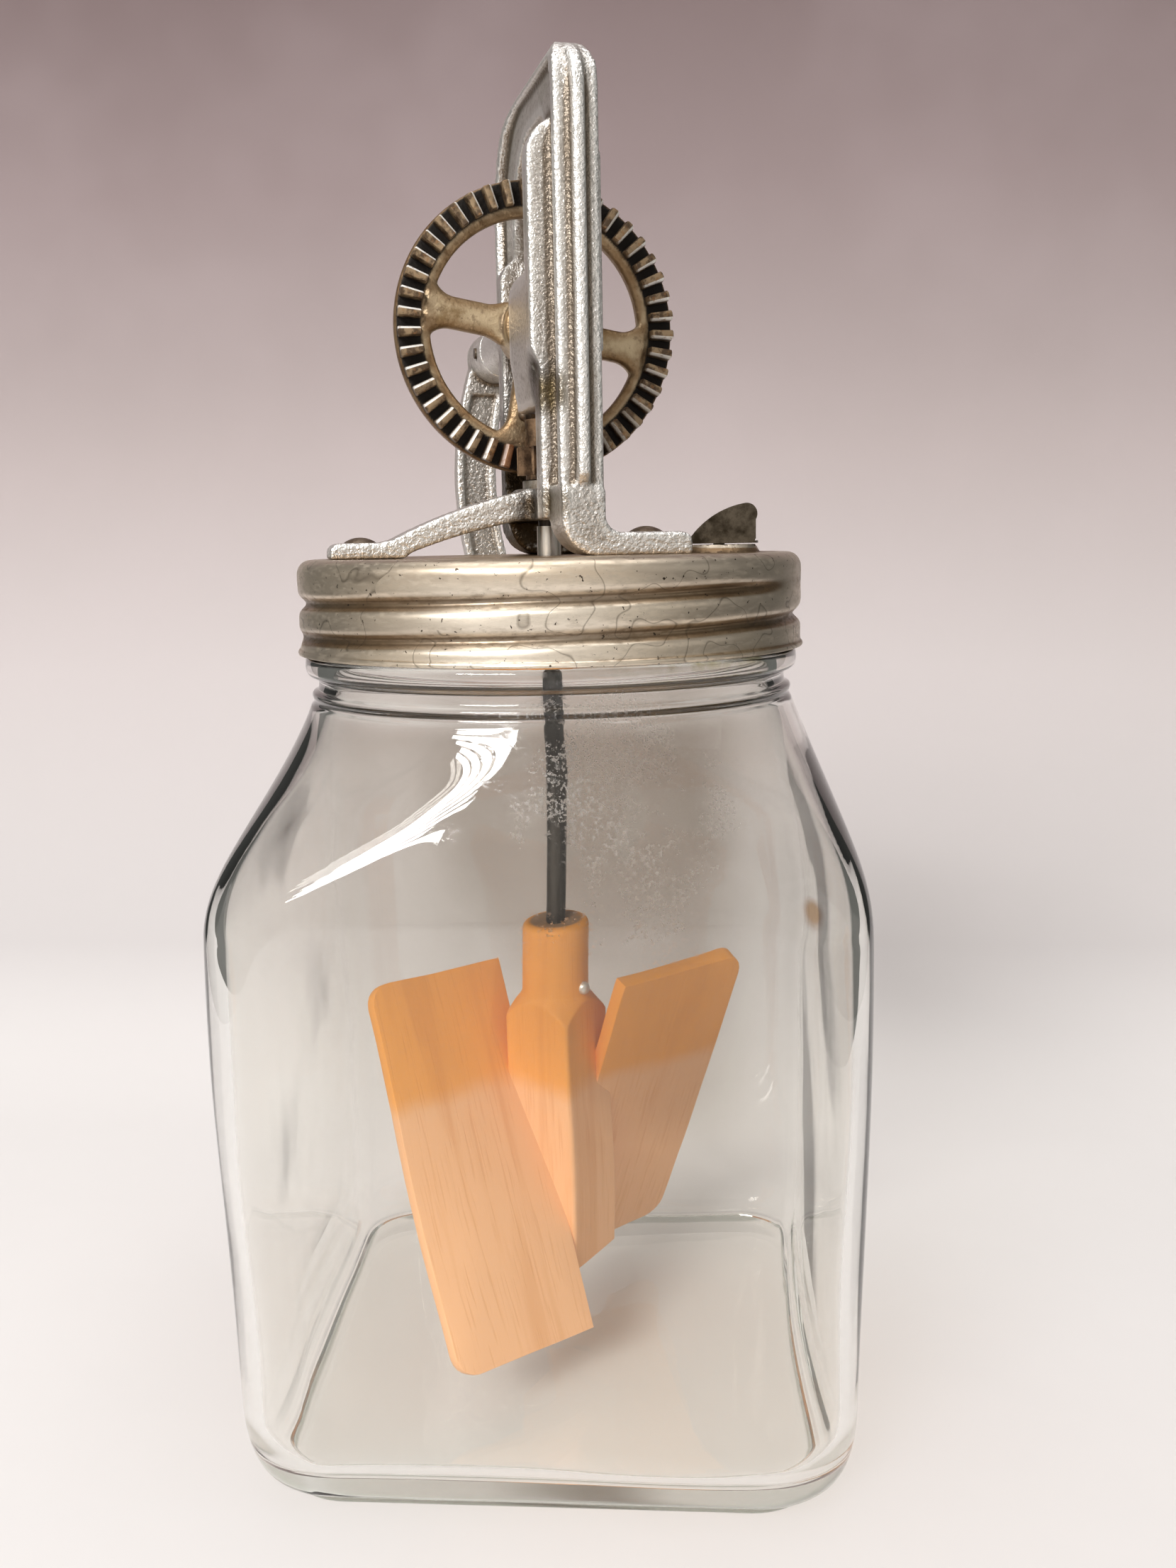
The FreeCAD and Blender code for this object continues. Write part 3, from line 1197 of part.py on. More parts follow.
def make_vent():
    """Turning cover with one side bent up as a finger tab, and the rivet it turns on."""
    body = new_body("vent_cover")
    seat = d.lid_top + d.vent_boss_rise + d.face_gap
    chord, radius = d.vent_chord, d.vent_cover_radius
    reach = root(radius * radius - chord * chord)
    plate = new_sketch(body, "XY_Plane", seat)
    draw(plate, [(reach, -chord, radius), (0, radius, radius), (-reach, -chord)])
    extrude(body, plate, d.vent_cover_sheet)
    fin = new_sketch(body, "XZ_Plane", chord - d.vent_cover_sheet)
    half, peak, soft = d.vent_fin_half, d.vent_fin_peak, d.vent_fin_round
    top = seat + d.vent_cover_sheet + d.vent_fin_rise
    draw(fin, [
        (-half, seat), (half - 0.6, seat), (half, seat + 1.2), (half, top - soft - 2.0, soft + 0.6),
        (peak, top, 22.0), (-half + 1.0, seat + 1.6),
    ])
    extrude(body, fin, d.vent_cover_sheet)
    holes = new_sketch(body, "XY_Plane", seat + d.vent_cover_sheet + 1.0)
    draw_circle(holes, 0, 0, d.vent_rivet_radius + d.running_clear)
    draw_circle(holes, 0, d.vent_hole_place, d.vent_hole_radius)
    extrude(body, holes, d.vent_cover_sheet + 2.0, "Pocket")
    finish(place(body, d.vent_place, 0, 0, d.vent_yaw, d.vent_yaw), "vent_cover")
    under = d.lid_top + d.vent_boss_rise - d.lid_sheet
    head = seat + d.vent_cover_sheet + d.face_gap
    swell = (d.vent_rivet_head * d.vent_rivet_head
             + d.vent_rivet_rise * d.vent_rivet_rise) / (2.0 * d.vent_rivet_rise)
    rivet = turned_body("vent_rivet", [
        (0, under - 0.8), (d.vent_rivet_head - 0.4, under - 0.8), (d.vent_rivet_head - 0.4, under),
        (d.vent_rivet_radius, under), (d.vent_rivet_radius, head), (d.vent_rivet_head, head, swell),
        (0, head + d.vent_rivet_rise),
    ])
    finish(place(rivet, d.vent_place, 0, 0, base_yaw=d.vent_yaw), "vent_rivet")


make_jar()
make_lid()
make_lid_fittings()
make_frame()
make_frame_rivets()
make_drive_wheel()
make_wheel_fittings()
make_crank()
make_pinion()
make_shaft()
make_dasher()
make_vent()
doc.recompute()

faults = []
for thing in doc.Objects:
    if "Invalid" in thing.State or "Error" in thing.State:
        faults.append(thing.Name)
for node in nodes:
    if node.Shape.isNull() or not node.Shape.isValid() or not node.Shape.Solids:
        faults.append(node.Label)
if faults:
    raise RuntimeError("not built: " + ", ".join(faults))

os.makedirs("parts", exist_ok=True)
for node in nodes:
    node.Shape.exportStep(os.path.join("parts", node.Label + ".step"))
    box = node.Shape.BoundBox
    print("%-20s solids %d volume %9.1f z %.1f to %.1f" % (
        node.Label, len(node.Shape.Solids), node.Shape.Volume, box.ZMin, box.ZMax))
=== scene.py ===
"""Looks for the glass butter churn: pressed jar glass, a tinned lid, cast gears and a wooden dasher.

Laid out as an add-on and run as a script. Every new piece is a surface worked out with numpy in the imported
model's own frame, and rides on the body that carries it. Shapes are in millimetres until they become
meshes, and materials read metres.
"""
import math

import bmesh
import bpy
import numpy as np
from bpy.props import FloatProperty, FloatVectorProperty, PointerProperty
from mathutils import Matrix, Vector


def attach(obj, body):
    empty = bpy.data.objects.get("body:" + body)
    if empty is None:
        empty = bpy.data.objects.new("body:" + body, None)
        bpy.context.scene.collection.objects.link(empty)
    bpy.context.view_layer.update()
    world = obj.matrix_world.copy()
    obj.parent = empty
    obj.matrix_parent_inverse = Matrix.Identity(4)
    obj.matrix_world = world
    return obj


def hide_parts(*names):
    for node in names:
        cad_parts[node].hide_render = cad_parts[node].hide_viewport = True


bl_info = {
    "name": "Glass Butter Churn",
    "version": (1, 0, 0),
    "blender": (4, 5, 0),
    "location": "View3D > Sidebar > Churn",
    "description": "Dresses the packed butter churn in glass, tinned sheet, cast metal and wood",
    "category": "Object",
}

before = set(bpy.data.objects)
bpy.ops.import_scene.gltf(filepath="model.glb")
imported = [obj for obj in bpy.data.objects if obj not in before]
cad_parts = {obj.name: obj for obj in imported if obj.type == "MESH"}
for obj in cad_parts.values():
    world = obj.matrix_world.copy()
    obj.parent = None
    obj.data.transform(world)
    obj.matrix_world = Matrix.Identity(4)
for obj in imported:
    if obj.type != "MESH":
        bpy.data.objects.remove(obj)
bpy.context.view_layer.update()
MM = 0.001

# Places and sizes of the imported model, in millimetres. Each board of the dasher has its turn in degrees
# and a shift of its grain in metres
AXLE_HEIGHT = 285.0
MECHANISM_YAW = math.radians(18.5)
DOME_FOOT = 334.0
DOME_RISE = 9.8
VENT_SPOT = (44.28, 4.44)
VENT_HOLE_OFF = 6.2
VENT_HOLE = 2.8
SHAFT_HOLE = 3.2
THREAD_PITCH = 8.4
THREAD_TURNS = 1.45
JAR_WALL = 4.7
JAR_FLOOR = 9.0
SHOULDER_LOW = 142.0
NECK_OUTSIDE = 60.9
NECK_INSIDE = 57.0
LIP_ROUND = 222.4
LID_TOP = 227.0
LID_UNDER = 226.2
LID_SIDE = 65.0
LID_INSIDE = 64.2
TEETH = 45
TOOTH_MIDDLE = 33.8
SPOKES = 4
DASHER_YAW = math.radians(-29.3)
BOARDS = {"left": (220.8, 0.1), "right": (40.8, 0.2)}
BOARD_SLANT = math.radians(23.7)
BOARD_MIDDLE = 68.0
PIN_HEIGHT = 111.0

# Levels on the wood and marks on the glass, in metres. The brown spot is twice as high as it is wide, and
# the height given here is half of its own
MILK_LINE = 0.084
MILK_FADE = 0.0035
CLOUDED_SPOT = (0.03, 0.0, 0.16)
DUSTY_SPOT = (0.016, -0.06, 0.168)
BROWN_SPOT = (0.0623, -0.0745, 0.0758)

# The photograph's viewpoint in metres, its yaw, pitch and roll, and the slats of the key lamp
CAMERA_PLACE = (0.03379, -0.3635, 0.23061)
CAMERA_ANGLES = (-0.068, 0.175, -0.018)
SLAT_WIDTHS = (0.74, 0.6, 0.78, 0.7, 0.84, 0.72, 0.56, 0.64)
SLAT_HEIGHT = 0.036
SLAT_STEP = 0.066

# The paper's colours by the share of the way up to PAPER_TOP, in metres; the darkening up the wall is
# painted shade
PAPER_TOP = 0.625
PAPER_TONE_AND_SHADE = ((0.0, (0.77, 0.745, 0.735)), (0.05, (0.6, 0.57, 0.565)), (0.25, (0.56, 0.515, 0.51)),
                 (0.45, (0.46, 0.4, 0.395)), (0.7, (0.29, 0.23, 0.23)), (1.0, (0.14, 0.098, 0.098)))


def smooth_step(x, low, high):
    """0 below low, 1 above high, and 3s^2 - 2s^3 between."""
    share = np.clip((x - low) / (high - low), 0.0, 1.0)
    return share * share * (3.0 - 2.0 * share)


def smooth_fall(x, low, high):
    """1 below low, 0 above high, and 1 - 3s^2 + 2s^3 between."""
    return 1.0 - smooth_step(x, low, high)


def abreast(*columns):
    """Arrays and numbers side by side along a new last axis, each repeated to one common shape."""
    return np.stack(np.broadcast_arrays(*columns), -1)


def about_axis(radius, angle, height):
    """Points about Z: radius times cosine, radius times sine, height."""
    return abreast(radius * np.cos(angle), radius * np.sin(angle), height)


def turned(points, angle):
    """Points turned about Z: x cos - y sin, x sin + y cos."""
    c, s = math.cos(angle), math.sin(angle)
    x, y = points[..., 0], points[..., 1]
    return abreast(x * c - y * s, x * s + y * c, points[..., 2])


def softened(outline, rounds=2):
    """Corner cutting: every span of the outline gives way to its points at a quarter and three quarters."""
    outline = np.asarray(outline, float)
    for _ in range(rounds):
        near = outline[:-1] * 0.75 + outline[1:] * 0.25
        far = outline[:-1] * 0.25 + outline[1:] * 0.75
        inner = np.stack([near, far], 1).reshape(-1, outline.shape[1])
        outline = np.concatenate([outline[:1], inner, outline[-1:]])
    return outline


def stepped(outline, step):
    """The outline walked in even steps: its coordinates interpolated over its running length."""
    outline = np.asarray(outline, float)
    run = np.concatenate([[0.0], np.cumsum(np.linalg.norm(np.diff(outline, axis=0), axis=1))])
    at = np.linspace(0.0, run[-1], max(int(round(run[-1] / step)), 2) + 1)
    return np.stack([np.interp(at, run, outline[:, k]) for k in range(outline.shape[1])], 1)


def quarter(centre, radius, start, end, count=6):
    """Arc points about a centre, angle running evenly from start to end in degrees."""
    angle = np.radians(np.linspace(start, end, count))
    return abreast(centre[0] + radius * np.cos(angle), centre[1] + radius * np.sin(angle))


def volume_of(points, triangles):
    """Signed volume: a sixth of the triple products of the triangles' corners, added up."""
    a, b, c = (points[triangles[:, k]] for k in range(3))
    return float(np.einsum("ij,ij->i", a, np.cross(b, c)).sum() / 6.0)


def piece_from(name, points, quads, triangles, crease=35.0):
    """A mesh object from point and face arrays in millimetres, its faces pointing outwards."""
    points = np.asarray(points, float)
    flat = np.concatenate([quads[:, :3], quads[:, [0, 2, 3]], triangles]) if len(quads) else triangles
    if volume_of(points, flat) < 0.0:
        quads, triangles = quads[:, ::-1], triangles[:, ::-1]
    mesh = bpy.data.meshes.new(name)
    mesh.from_pydata((points * MM).tolist(), [], quads.tolist() + triangles.tolist())
    mesh.shade_smooth()
    if crease:
        mesh.set_sharp_from_angle(angle=math.radians(crease))
    piece = bpy.data.objects.new(name, mesh)
    bpy.context.scene.collection.objects.link(piece)
    return piece


def skin(rings, poles=(None, None), looped=False):
    """Faces over a rows x columns grid of points: each row is a closed ring. A pole closes an end with a
    fan, and looped joins the last row to the first."""
    rows, columns = rings.shape[:2]
    row = np.arange(rows if looped else rows - 1)[:, None]
    column = np.arange(columns)[None, :]
    here, below, beside = row * columns, ((row + 1) % rows) * columns, (column + 1) % columns
    quads = abreast(here + column, here + beside, below + beside, below + column).reshape(-1, 4)
    points, fans = rings.reshape(-1, 3), [np.empty((0, 3), int)]
    for end, pole in enumerate(poles):
        if pole is None:
            continue
        a = (rows - 1) * columns * end + np.arange(columns)
        b = (rows - 1) * columns * end + (np.arange(columns) + 1) % columns
        tip = np.full(columns, len(points))
        fans.append(np.stack([a, b, tip] if end else [b, a, tip], -1))
        points = np.vstack([points, [pole]])
    return points, quads, np.concatenate(fans)


def joined(parts):
    """Several (points, quads, triangles) sets as one: face numbers move past the earlier sets' points."""
    points, quads, triangles, count = [], [], [], 0
    for p, q, t in parts:
        points.append(p)
        quads.append(q + count)
        triangles.append(t + count)
        count += len(p)
    return np.concatenate(points), np.concatenate(quads), np.concatenate(triangles)


def lathe(profile, columns=96, looped=False):
    """A profile of (radius, height) points turned about Z; radius 0 at an end makes a pole."""
    profile = np.asarray(profile, float)
    poles = [None, None]
    if not looped:
        for end in (0, -1):
            if profile[end, 0] < 1e-9:
                poles[end] = (0.0, 0.0, profile[end, 1])
    body = profile[(1 if poles[0] else 0):(len(profile) - 1 if poles[1] else len(profile))]
    angle = np.arange(columns) * 2.0 * math.pi / columns
    return skin(about_axis(body[:, :1], angle, body[:, 1:2]), poles, looped)


def along_axle(points, height=AXLE_HEIGHT):
    """Turn a shape drawn about Z so that its Z runs back along the axle, at this height: (x, y, z) becomes
    (x, z, height - y), then the mechanism's turn."""
    return turned(abreast(points[..., 0], points[..., 2], height - points[..., 1]), MECHANISM_YAW)


def neighbour_mean(values, a, b, degree):
    """Mean of each point's neighbours, from the mesh's edges as two index arrays."""
    total = np.stack([np.bincount(a, values[b, k], len(values)) + np.bincount(b, values[a, k], len(values))
                      for k in range(3)], 1)
    return total / degree[:, None]


def mesh_arrays(mesh):
    """Points, normals and edge ends of a mesh as arrays, with each point's number of edges."""
    count = len(mesh.vertices)
    points, normals = np.empty(count * 3), np.empty(count * 3)
    mesh.vertices.foreach_get("co", points)
    mesh.vertices.foreach_get("normal", normals)
    ends = np.empty(len(mesh.edges) * 2, np.int64)
    mesh.edges.foreach_get("vertices", ends)
    a, b = ends.reshape(-1, 2).T
    degree = np.maximum(np.bincount(a, minlength=count) + np.bincount(b, minlength=count), 1)
    return points.reshape(-1, 3), normals.reshape(-1, 3), a, b, degree


def mark_relief(piece, reach, rounds=30):
    """Point attribute 'relief': how far each point stands out of its smoothed surroundings, 0.5 for flat,
    1 for an edge that stands out by reach millimetres and 0 for as deep a hollow."""
    points, normals, a, b, degree = mesh_arrays(piece.data)
    smooth = points.copy()
    for _ in range(rounds):
        smooth = neighbour_mean(smooth, a, b, degree)
    stand = ((points - smooth) * normals).sum(1) / MM
    store(piece, "relief", np.clip(0.5 + 0.5 * stand / reach, 0.0, 1.0))
    return piece


def store(piece, name, values):
    """Keep one number or vector per point as a mesh attribute that the materials read."""
    values = np.asarray(values, np.float32)
    kind, field = ("FLOAT_VECTOR", "vector") if values.ndim == 2 else ("FLOAT", "value")
    layer = piece.data.attributes.get(name) or piece.data.attributes.new(name, kind, "POINT")
    layer.data.foreach_set(field, values.ravel())


def melted(piece, cell, rounds):
    """Remesh a closed shape in even cells, then smooth it in pairs of a shrinking and a growing step, so
    that its edges melt as on a casting and its size stays."""
    merge = bmesh.new()
    merge.from_mesh(piece.data)
    bmesh.ops.remove_doubles(merge, verts=merge.verts, dist=1e-6)
    merge.to_mesh(piece.data)
    merge.free()
    modifier = piece.modifiers.new("cells", "REMESH")
    modifier.mode = "VOXEL"
    modifier.voxel_size = cell * MM
    graph = bpy.context.evaluated_depsgraph_get()
    mesh = bpy.data.meshes.new_from_object(piece.evaluated_get(graph))
    piece.modifiers.clear()
    piece.data = mesh
    points, _, a, b, degree = mesh_arrays(mesh)
    for _ in range(rounds):
        for pull in (0.5, -0.52):
            points = points + pull * (neighbour_mean(points, a, b, degree) - points)
    mesh.vertices.foreach_set("co", points.ravel())
    mesh.update()
    mesh.shade_smooth()
    return piece


def copy_of(node, name):
    """A new object with a copy of a CAD node's mesh."""
    piece = bpy.data.objects.new(name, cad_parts[node].data.copy())
    bpy.context.scene.collection.objects.link(piece)
    return piece


def fit(piece, body, slot, material, *nodes):
    """Give a piece its material and its body, and hide the CAD nodes that it stands for; its slot is not
    used.
    """
    piece.data.materials.clear()
    piece.data.materials.append(material)
    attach(piece, body)
    if nodes:
        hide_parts(*nodes)
    return piece


# Shader groups: each puts out only masks, colours or heights

def new_group(name, inputs, outputs):
    """An empty shader group with its input and output sockets: Place is a vector, the rest are numbers."""
    group = bpy.data.node_groups.new(name, "ShaderNodeTree")
    for way, sockets in (("INPUT", inputs), ("OUTPUT", outputs)):
        for socket in sockets:
            kind = "NodeSocketVector" if socket == "Place" else "NodeSocketFloat"
            group.interface.new_socket(socket, in_out=way, socket_type=kind)
    inside, outside = group.nodes.new("NodeGroupInput"), group.nodes.new("NodeGroupOutput")
    return group, inside.outputs[:len(inputs)], outside.inputs


def plug(tree, socket, value):
    """Link a socket from another one, or set it to a value."""
    if isinstance(value, bpy.types.NodeSocket):
        tree.links.new(value, socket)
    else:
        socket.default_value = value


def add(tree, kind, settings=None, **links):
    """A node with its settings and its sockets' values or links: i0, i1 and so on mean a socket by its
    place, and any other word means one by its name."""
    made = tree.nodes.new("ShaderNode" + kind)
    for key, value in (settings or {}).items():
        setattr(made, key, value)
    for key, value in links.items():
        by_place = key[0] == "i" and key[1:].isdigit()
        plug(tree, made.inputs[int(key[1:]) if by_place else key.replace("_", " ")], value)
    return made


def ramp(tree, value, low, high, out_low=0.0, out_high=1.0):
    """Smooth step of a value from low to high, put out as out_low to out_high."""
    return add(tree, "MapRange", {"interpolation_type": "SMOOTHSTEP"}, Value=value, From_Min=low,
               From_Max=high, To_Min=out_low, To_Max=out_high).outputs[0]


def spread(tree, share, low, high):
    """Smooth step from low to high while a share goes from 0 to 1."""
    return ramp(tree, share, 0.0, 1.0, low, high)


def blend_colour(tree, share, first, second):
    """Mix two colours by a share."""
    made = tree.nodes.new("ShaderNodeMix")
    made.data_type = "RGBA"
    for number, value in ((0, share), (6, first), (7, second)):
        plug(tree, made.inputs[number], (*value, 1.0) if isinstance(value, tuple) else value)
    return made.outputs[2]


def blend_shader(tree, share, first, second):
    """Mix two shaders by a share."""
    return add(tree, "MixShader", i0=share, i1=first, i2=second).outputs[0]


def maths(tree, operation, first, second=0.0):
    """One arithmetic step."""
    return add(tree, "Math", {"operation": operation}, i0=first, i1=second).outputs[0]


def times(tree, first, second):
    """Product of two numbers."""
    return maths(tree, "MULTIPLY", first, second)


def coat(tree, colour, mask, share, paint):
    """Lay a paint over a colour where the mask says, as thickly as the share says."""
    return blend_colour(tree, times(tree, mask, share), colour, paint)


def distance(tree, place, spot):
    """Distance of a place from a spot."""
    return add(tree, "VectorMath", {"operation": "DISTANCE"}, i0=place, i1=spot).outputs["Value"]


def scaled(tree, place, factors):
    """A place with each coordinate times its factor."""
    return add(tree, "Mapping", Vector=place, Scale=factors).outputs[0]


def noise(tree, place, scale, detail, **more):
    """Soft noise with about this many lumps to a metre, and so many finer layers."""
    return add(tree, "TexNoise", Vector=place, Scale=scale, Detail=detail, **more).outputs[0]


def kept(tree, name, kind="Fac"):
    """A number or vector that store() keeps on the points."""
    return add(tree, "Attribute", {"attribute_name": name}).outputs[kind]


def make_stains():
    """Soft irregular stains: a noise, then a smooth step between two of its levels."""
    group, (place, scale, detail, low, high), ends = new_group(
        "stains", ("Place", "Scale", "Detail", "Low", "High"), ("Mask",))
    soft = noise(group, place, scale, detail, Roughness=0.62)
    plug(group, ends[0], ramp(group, soft, low, high))
    return group


def make_hair_marks():
    """Fine hair scratches: the thin borders of a noise that bends the lines, kept in patches."""
    group, (place, scale, width, patches), ends = new_group(
        "hair_marks", ("Place", "Scale", "Width", "Patches"), ("Mask",))
    line = maths(group, "ABSOLUTE", maths(group, "SUBTRACT", noise(group, place, scale, 1.0), 0.5))
    thin = maths(group, "SUBTRACT", 1.0, maths(group, "DIVIDE", line, width))
    keep = maths(group, "GREATER_THAN", noise(group, place, 31.0, 2.0), patches)
    plug(group, ends[0], times(group, add(group, "Clamp", Value=thin).outputs[0], keep))
    return group


def make_relief_masks():
    """Edge and hollow masks out of the relief attribute."""
    group, (edge_low, edge_high, hollow_low, hollow_high), ends = new_group(
        "relief_masks", ("Edge Low", "Edge High", "Hollow Low", "Hollow High"), ("Edge", "Hollow"))
    relief = kept(group, "relief")
    plug(group, ends[0], ramp(group, relief, edge_low, edge_high))
    plug(group, ends[1], ramp(group, relief, hollow_low, hollow_high, 1.0, 0.0))
    return group


def make_cast_skin():
    """Height of a sand-cast and painted skin: fine grit on soft lumps."""
    group, (place, grit, lumps), ends = new_group("cast_skin", ("Place", "Grit", "Lumps"), ("Height",))
    fine = times(group, noise(group, place, grit, 3.0), 0.45)
    plug(group, ends[0], maths(group, "ADD", fine, noise(group, place, lumps, 2.0)))
    return group


def make_grain():
    """Wood figure along one axis of the given place: stretched noise bands, fine pores and a height."""
    group, (place, bands, pores), ends = new_group(
        "wood_grain", ("Place", "Bands", "Pores"), ("Figure", "Pore", "Height"))
    figure = noise(group, scaled(group, place, (1.0, 1.0, 0.06)), bands, 5.0, Distortion=0.8)
    pore = ramp(group, noise(group, scaled(group, place, (1.0, 1.0, 0.035)), pores, 2.0), 0.56, 0.7)
    plug(group, ends[0], figure)
    plug(group, ends[1], pore)
    plug(group, ends[2], maths(group, "SUBTRACT", times(group, figure, 0.4), pore))
    return group


GROUP_MAKERS = {"stains": make_stains, "hair_marks": make_hair_marks, "relief_masks": make_relief_masks,
                "cast_skin": make_cast_skin, "wood_grain": make_grain}


def shared(tree, name, **links):
    """Place one of the shader groups in a material, and make the group when it isn't there yet."""
    group = bpy.data.node_groups.get(name) or GROUP_MAKERS[name]()
    return add(tree, "Group", {"node_tree": group}, **links)


def stains(tree, place, scale, low, high, detail=6.0):
    """Mask of soft irregular stains, from 0 at one level of the noise to 1 at another."""
    return shared(tree, "stains", Place=place, Scale=scale, Detail=detail, Low=low, High=high).outputs[0]


def new_finish(name, **plain):
    """A material, its node tree and its Object place, with plain values on the Principled shader."""
    material = bpy.data.materials.new(name)
    material.use_nodes = True
    tree = material.node_tree
    for key, value in plain.items():
        setting = (*value, 1.0) if isinstance(value, tuple) else value
        tree.nodes["Principled BSDF"].inputs[key.replace("_", " ")].default_value = setting
    return material, tree, tree.nodes.new("ShaderNodeTexCoord").outputs["Object"]


def finished(material, colour, height, strength, depth, **links):
    """Lead a colour, a bump of this strength and depth in metres, and other links into the material's
    Principled shader."""
    tree = material.node_tree
    bump = add(tree, "Bump", Strength=strength, Distance=depth, Height=height)
    links.update(Base_Color=colour, Normal=bump.outputs[0])
    for key, value in links.items():
        plug(tree, tree.nodes["Principled BSDF"].inputs[key.replace("_", " ")], value)
    return material


def cast_silver(name, paint, grime_and_shade):
    """Silver-painted casting: gritty skin, brown film in patches, darker in the hollows, partly grime and
    partly painted shade, paler along the edges, partly rubbed paint and partly painted highlight, and
    grease, with painted shade under the bar and on the rear pillar's foot, and smudges where they are kept."""
    material, tree, place = new_finish(name, Metallic=0.88, Specular_IOR_Level=0.5)
    relief_masks = shared(tree, "relief_masks", Edge_Low=0.58, Edge_High=0.8, Hollow_Low=0.14, Hollow_High=0.46)
    darkening = stains(tree, place, 45.0, 0.48, 0.7)
    dust = stains(tree, place, 900.0, 0.48, 0.66, 3.0)
    smear = stains(tree, place, 170.0, 0.25, 0.45, 5.0)
    colour = coat(tree, paint, darkening, 0.4, grime_and_shade)
    # painted shade with grime: darker in the hollows
    colour = coat(tree, colour, relief_masks.outputs["Hollow"], 0.85, grime_and_shade)
    colour = coat(tree, colour, dust, 0.4, (0.22, 0.18, 0.14))
    # paler along the edges: partly rubbed paint, partly painted highlight
    colour = coat(tree, colour, relief_masks.outputs["Edge"], 0.6, (0.93, 0.91, 0.88))
    # grease, and painted shade under the bar and on the rear pillar's foot
    colour = coat(tree, colour, kept(tree, "grease_and_shade"), smear, (0.045, 0.03, 0.016))
    smudge = times(tree, kept(tree, "smudge"), spread(tree, smear, 0.45, 1.0))
    colour = blend_colour(tree, smudge, colour, (0.12, 0.085, 0.035))
    casting = shared(tree, "cast_skin", Place=place, Grit=1900.0, Lumps=1000.0).outputs[0]
    return finished(material, colour, casting, 0.7, 0.0006, Roughness=spread(tree, darkening, 0.34, 0.48))


def gear_gold():
    """Old gold-brown paint on the wheel: darker in the hollows, partly grease and partly painted shade,
    brown along the edges, rust on the rim, most of all where it meets the pinion, and near black between the
    teeth, painted shade with grease."""
    material, tree, place = new_finish("gear_gold_paint", Metallic=0.7)
    relief_masks = shared(tree, "relief_masks", Edge_Low=0.55, Edge_High=0.75, Hollow_Low=0.22, Hollow_High=0.46)
    stain = stains(tree, place, 120.0, 0.42, 0.66)
    spots = stains(tree, place, 520.0, 0.56, 0.66, 4.0)
    colour = blend_colour(tree, stain, (0.54, 0.425, 0.275), (0.25, 0.165, 0.08))
    colour = coat(tree, colour, relief_masks.outputs["Edge"], 0.7, (0.24, 0.14, 0.06))
    # darker in the hollows: partly grease, partly painted shade
    colour = coat(tree, colour, relief_masks.outputs["Hollow"], 0.8, (0.1, 0.06, 0.03))
    colour = coat(tree, colour, spots, 0.5, (0.12, 0.07, 0.035))
    rust = times(tree, kept(tree, "rust"), spread(tree, stain, 0.5, 1.0))
    colour = coat(tree, colour, rust, 0.9, (0.16, 0.085, 0.04))
    # near black on the rim's face between the teeth: painted shade with grease
    gap_grease_and_shade = kept(tree, "gap_grease_and_shade")
    colour = blend_colour(tree, gap_grease_and_shade, colour, (0.012, 0.009, 0.007))
    casting = shared(tree, "cast_skin", Place=place, Grit=1700.0, Lumps=900.0).outputs[0]
    return finished(material, colour, casting, 0.5, 0.0004, Roughness=spread(tree, gap_grease_and_shade, 0.4, 0.62))


def tooth_metal():
    """Gear teeth: bright on the tips, partly rubbed metal and partly painted highlight, brown down the
    flanks, with rust on some, and near black low down between them, painted shade with grease.
    """
    material, tree, place = new_finish("gear_teeth", Metallic=0.65)
    # bright tips: partly rubbed metal, partly painted highlight
    tip_wear_and_highlight = kept(tree, "bright")
    stain = stains(tree, place, 420.0, 0.42, 0.6, 5.0)
    broad = stains(tree, place, 55.0, 0.45, 0.66)
    flecks = stains(tree, place, 700.0, 0.56, 0.66, 4.0)
    flank = blend_colour(tree, stain, (0.34, 0.24, 0.14), (0.09, 0.055, 0.03))
    flank = coat(tree, flank, broad, 0.5, (0.1, 0.065, 0.04))
    tip = blend_colour(tree, times(tree, broad, 0.5), (0.98, 0.96, 0.92), (0.72, 0.64, 0.54))
    colour = blend_colour(tree, tip_wear_and_highlight, flank, tip)
    colour = coat(tree, colour, kept(tree, "rust"), 0.8, (0.3, 0.12, 0.05))
    colour = coat(tree, colour, flecks, 0.55, (0.3, 0.14, 0.05))
    # near black low down between the teeth: painted shade with grease
    colour = blend_colour(tree, kept(tree, "low"), colour, (0.012, 0.008, 0.006))
    casting = shared(tree, "cast_skin", Place=place, Grit=2200.0, Lumps=700.0).outputs[0]
    return finished(material, colour, casting, 0.35, 0.0002, Roughness=spread(tree, tip_wear_and_highlight, 0.5, 0.42),
                    Metallic=spread(tree, tip_wear_and_highlight, 0.5, 0.2))


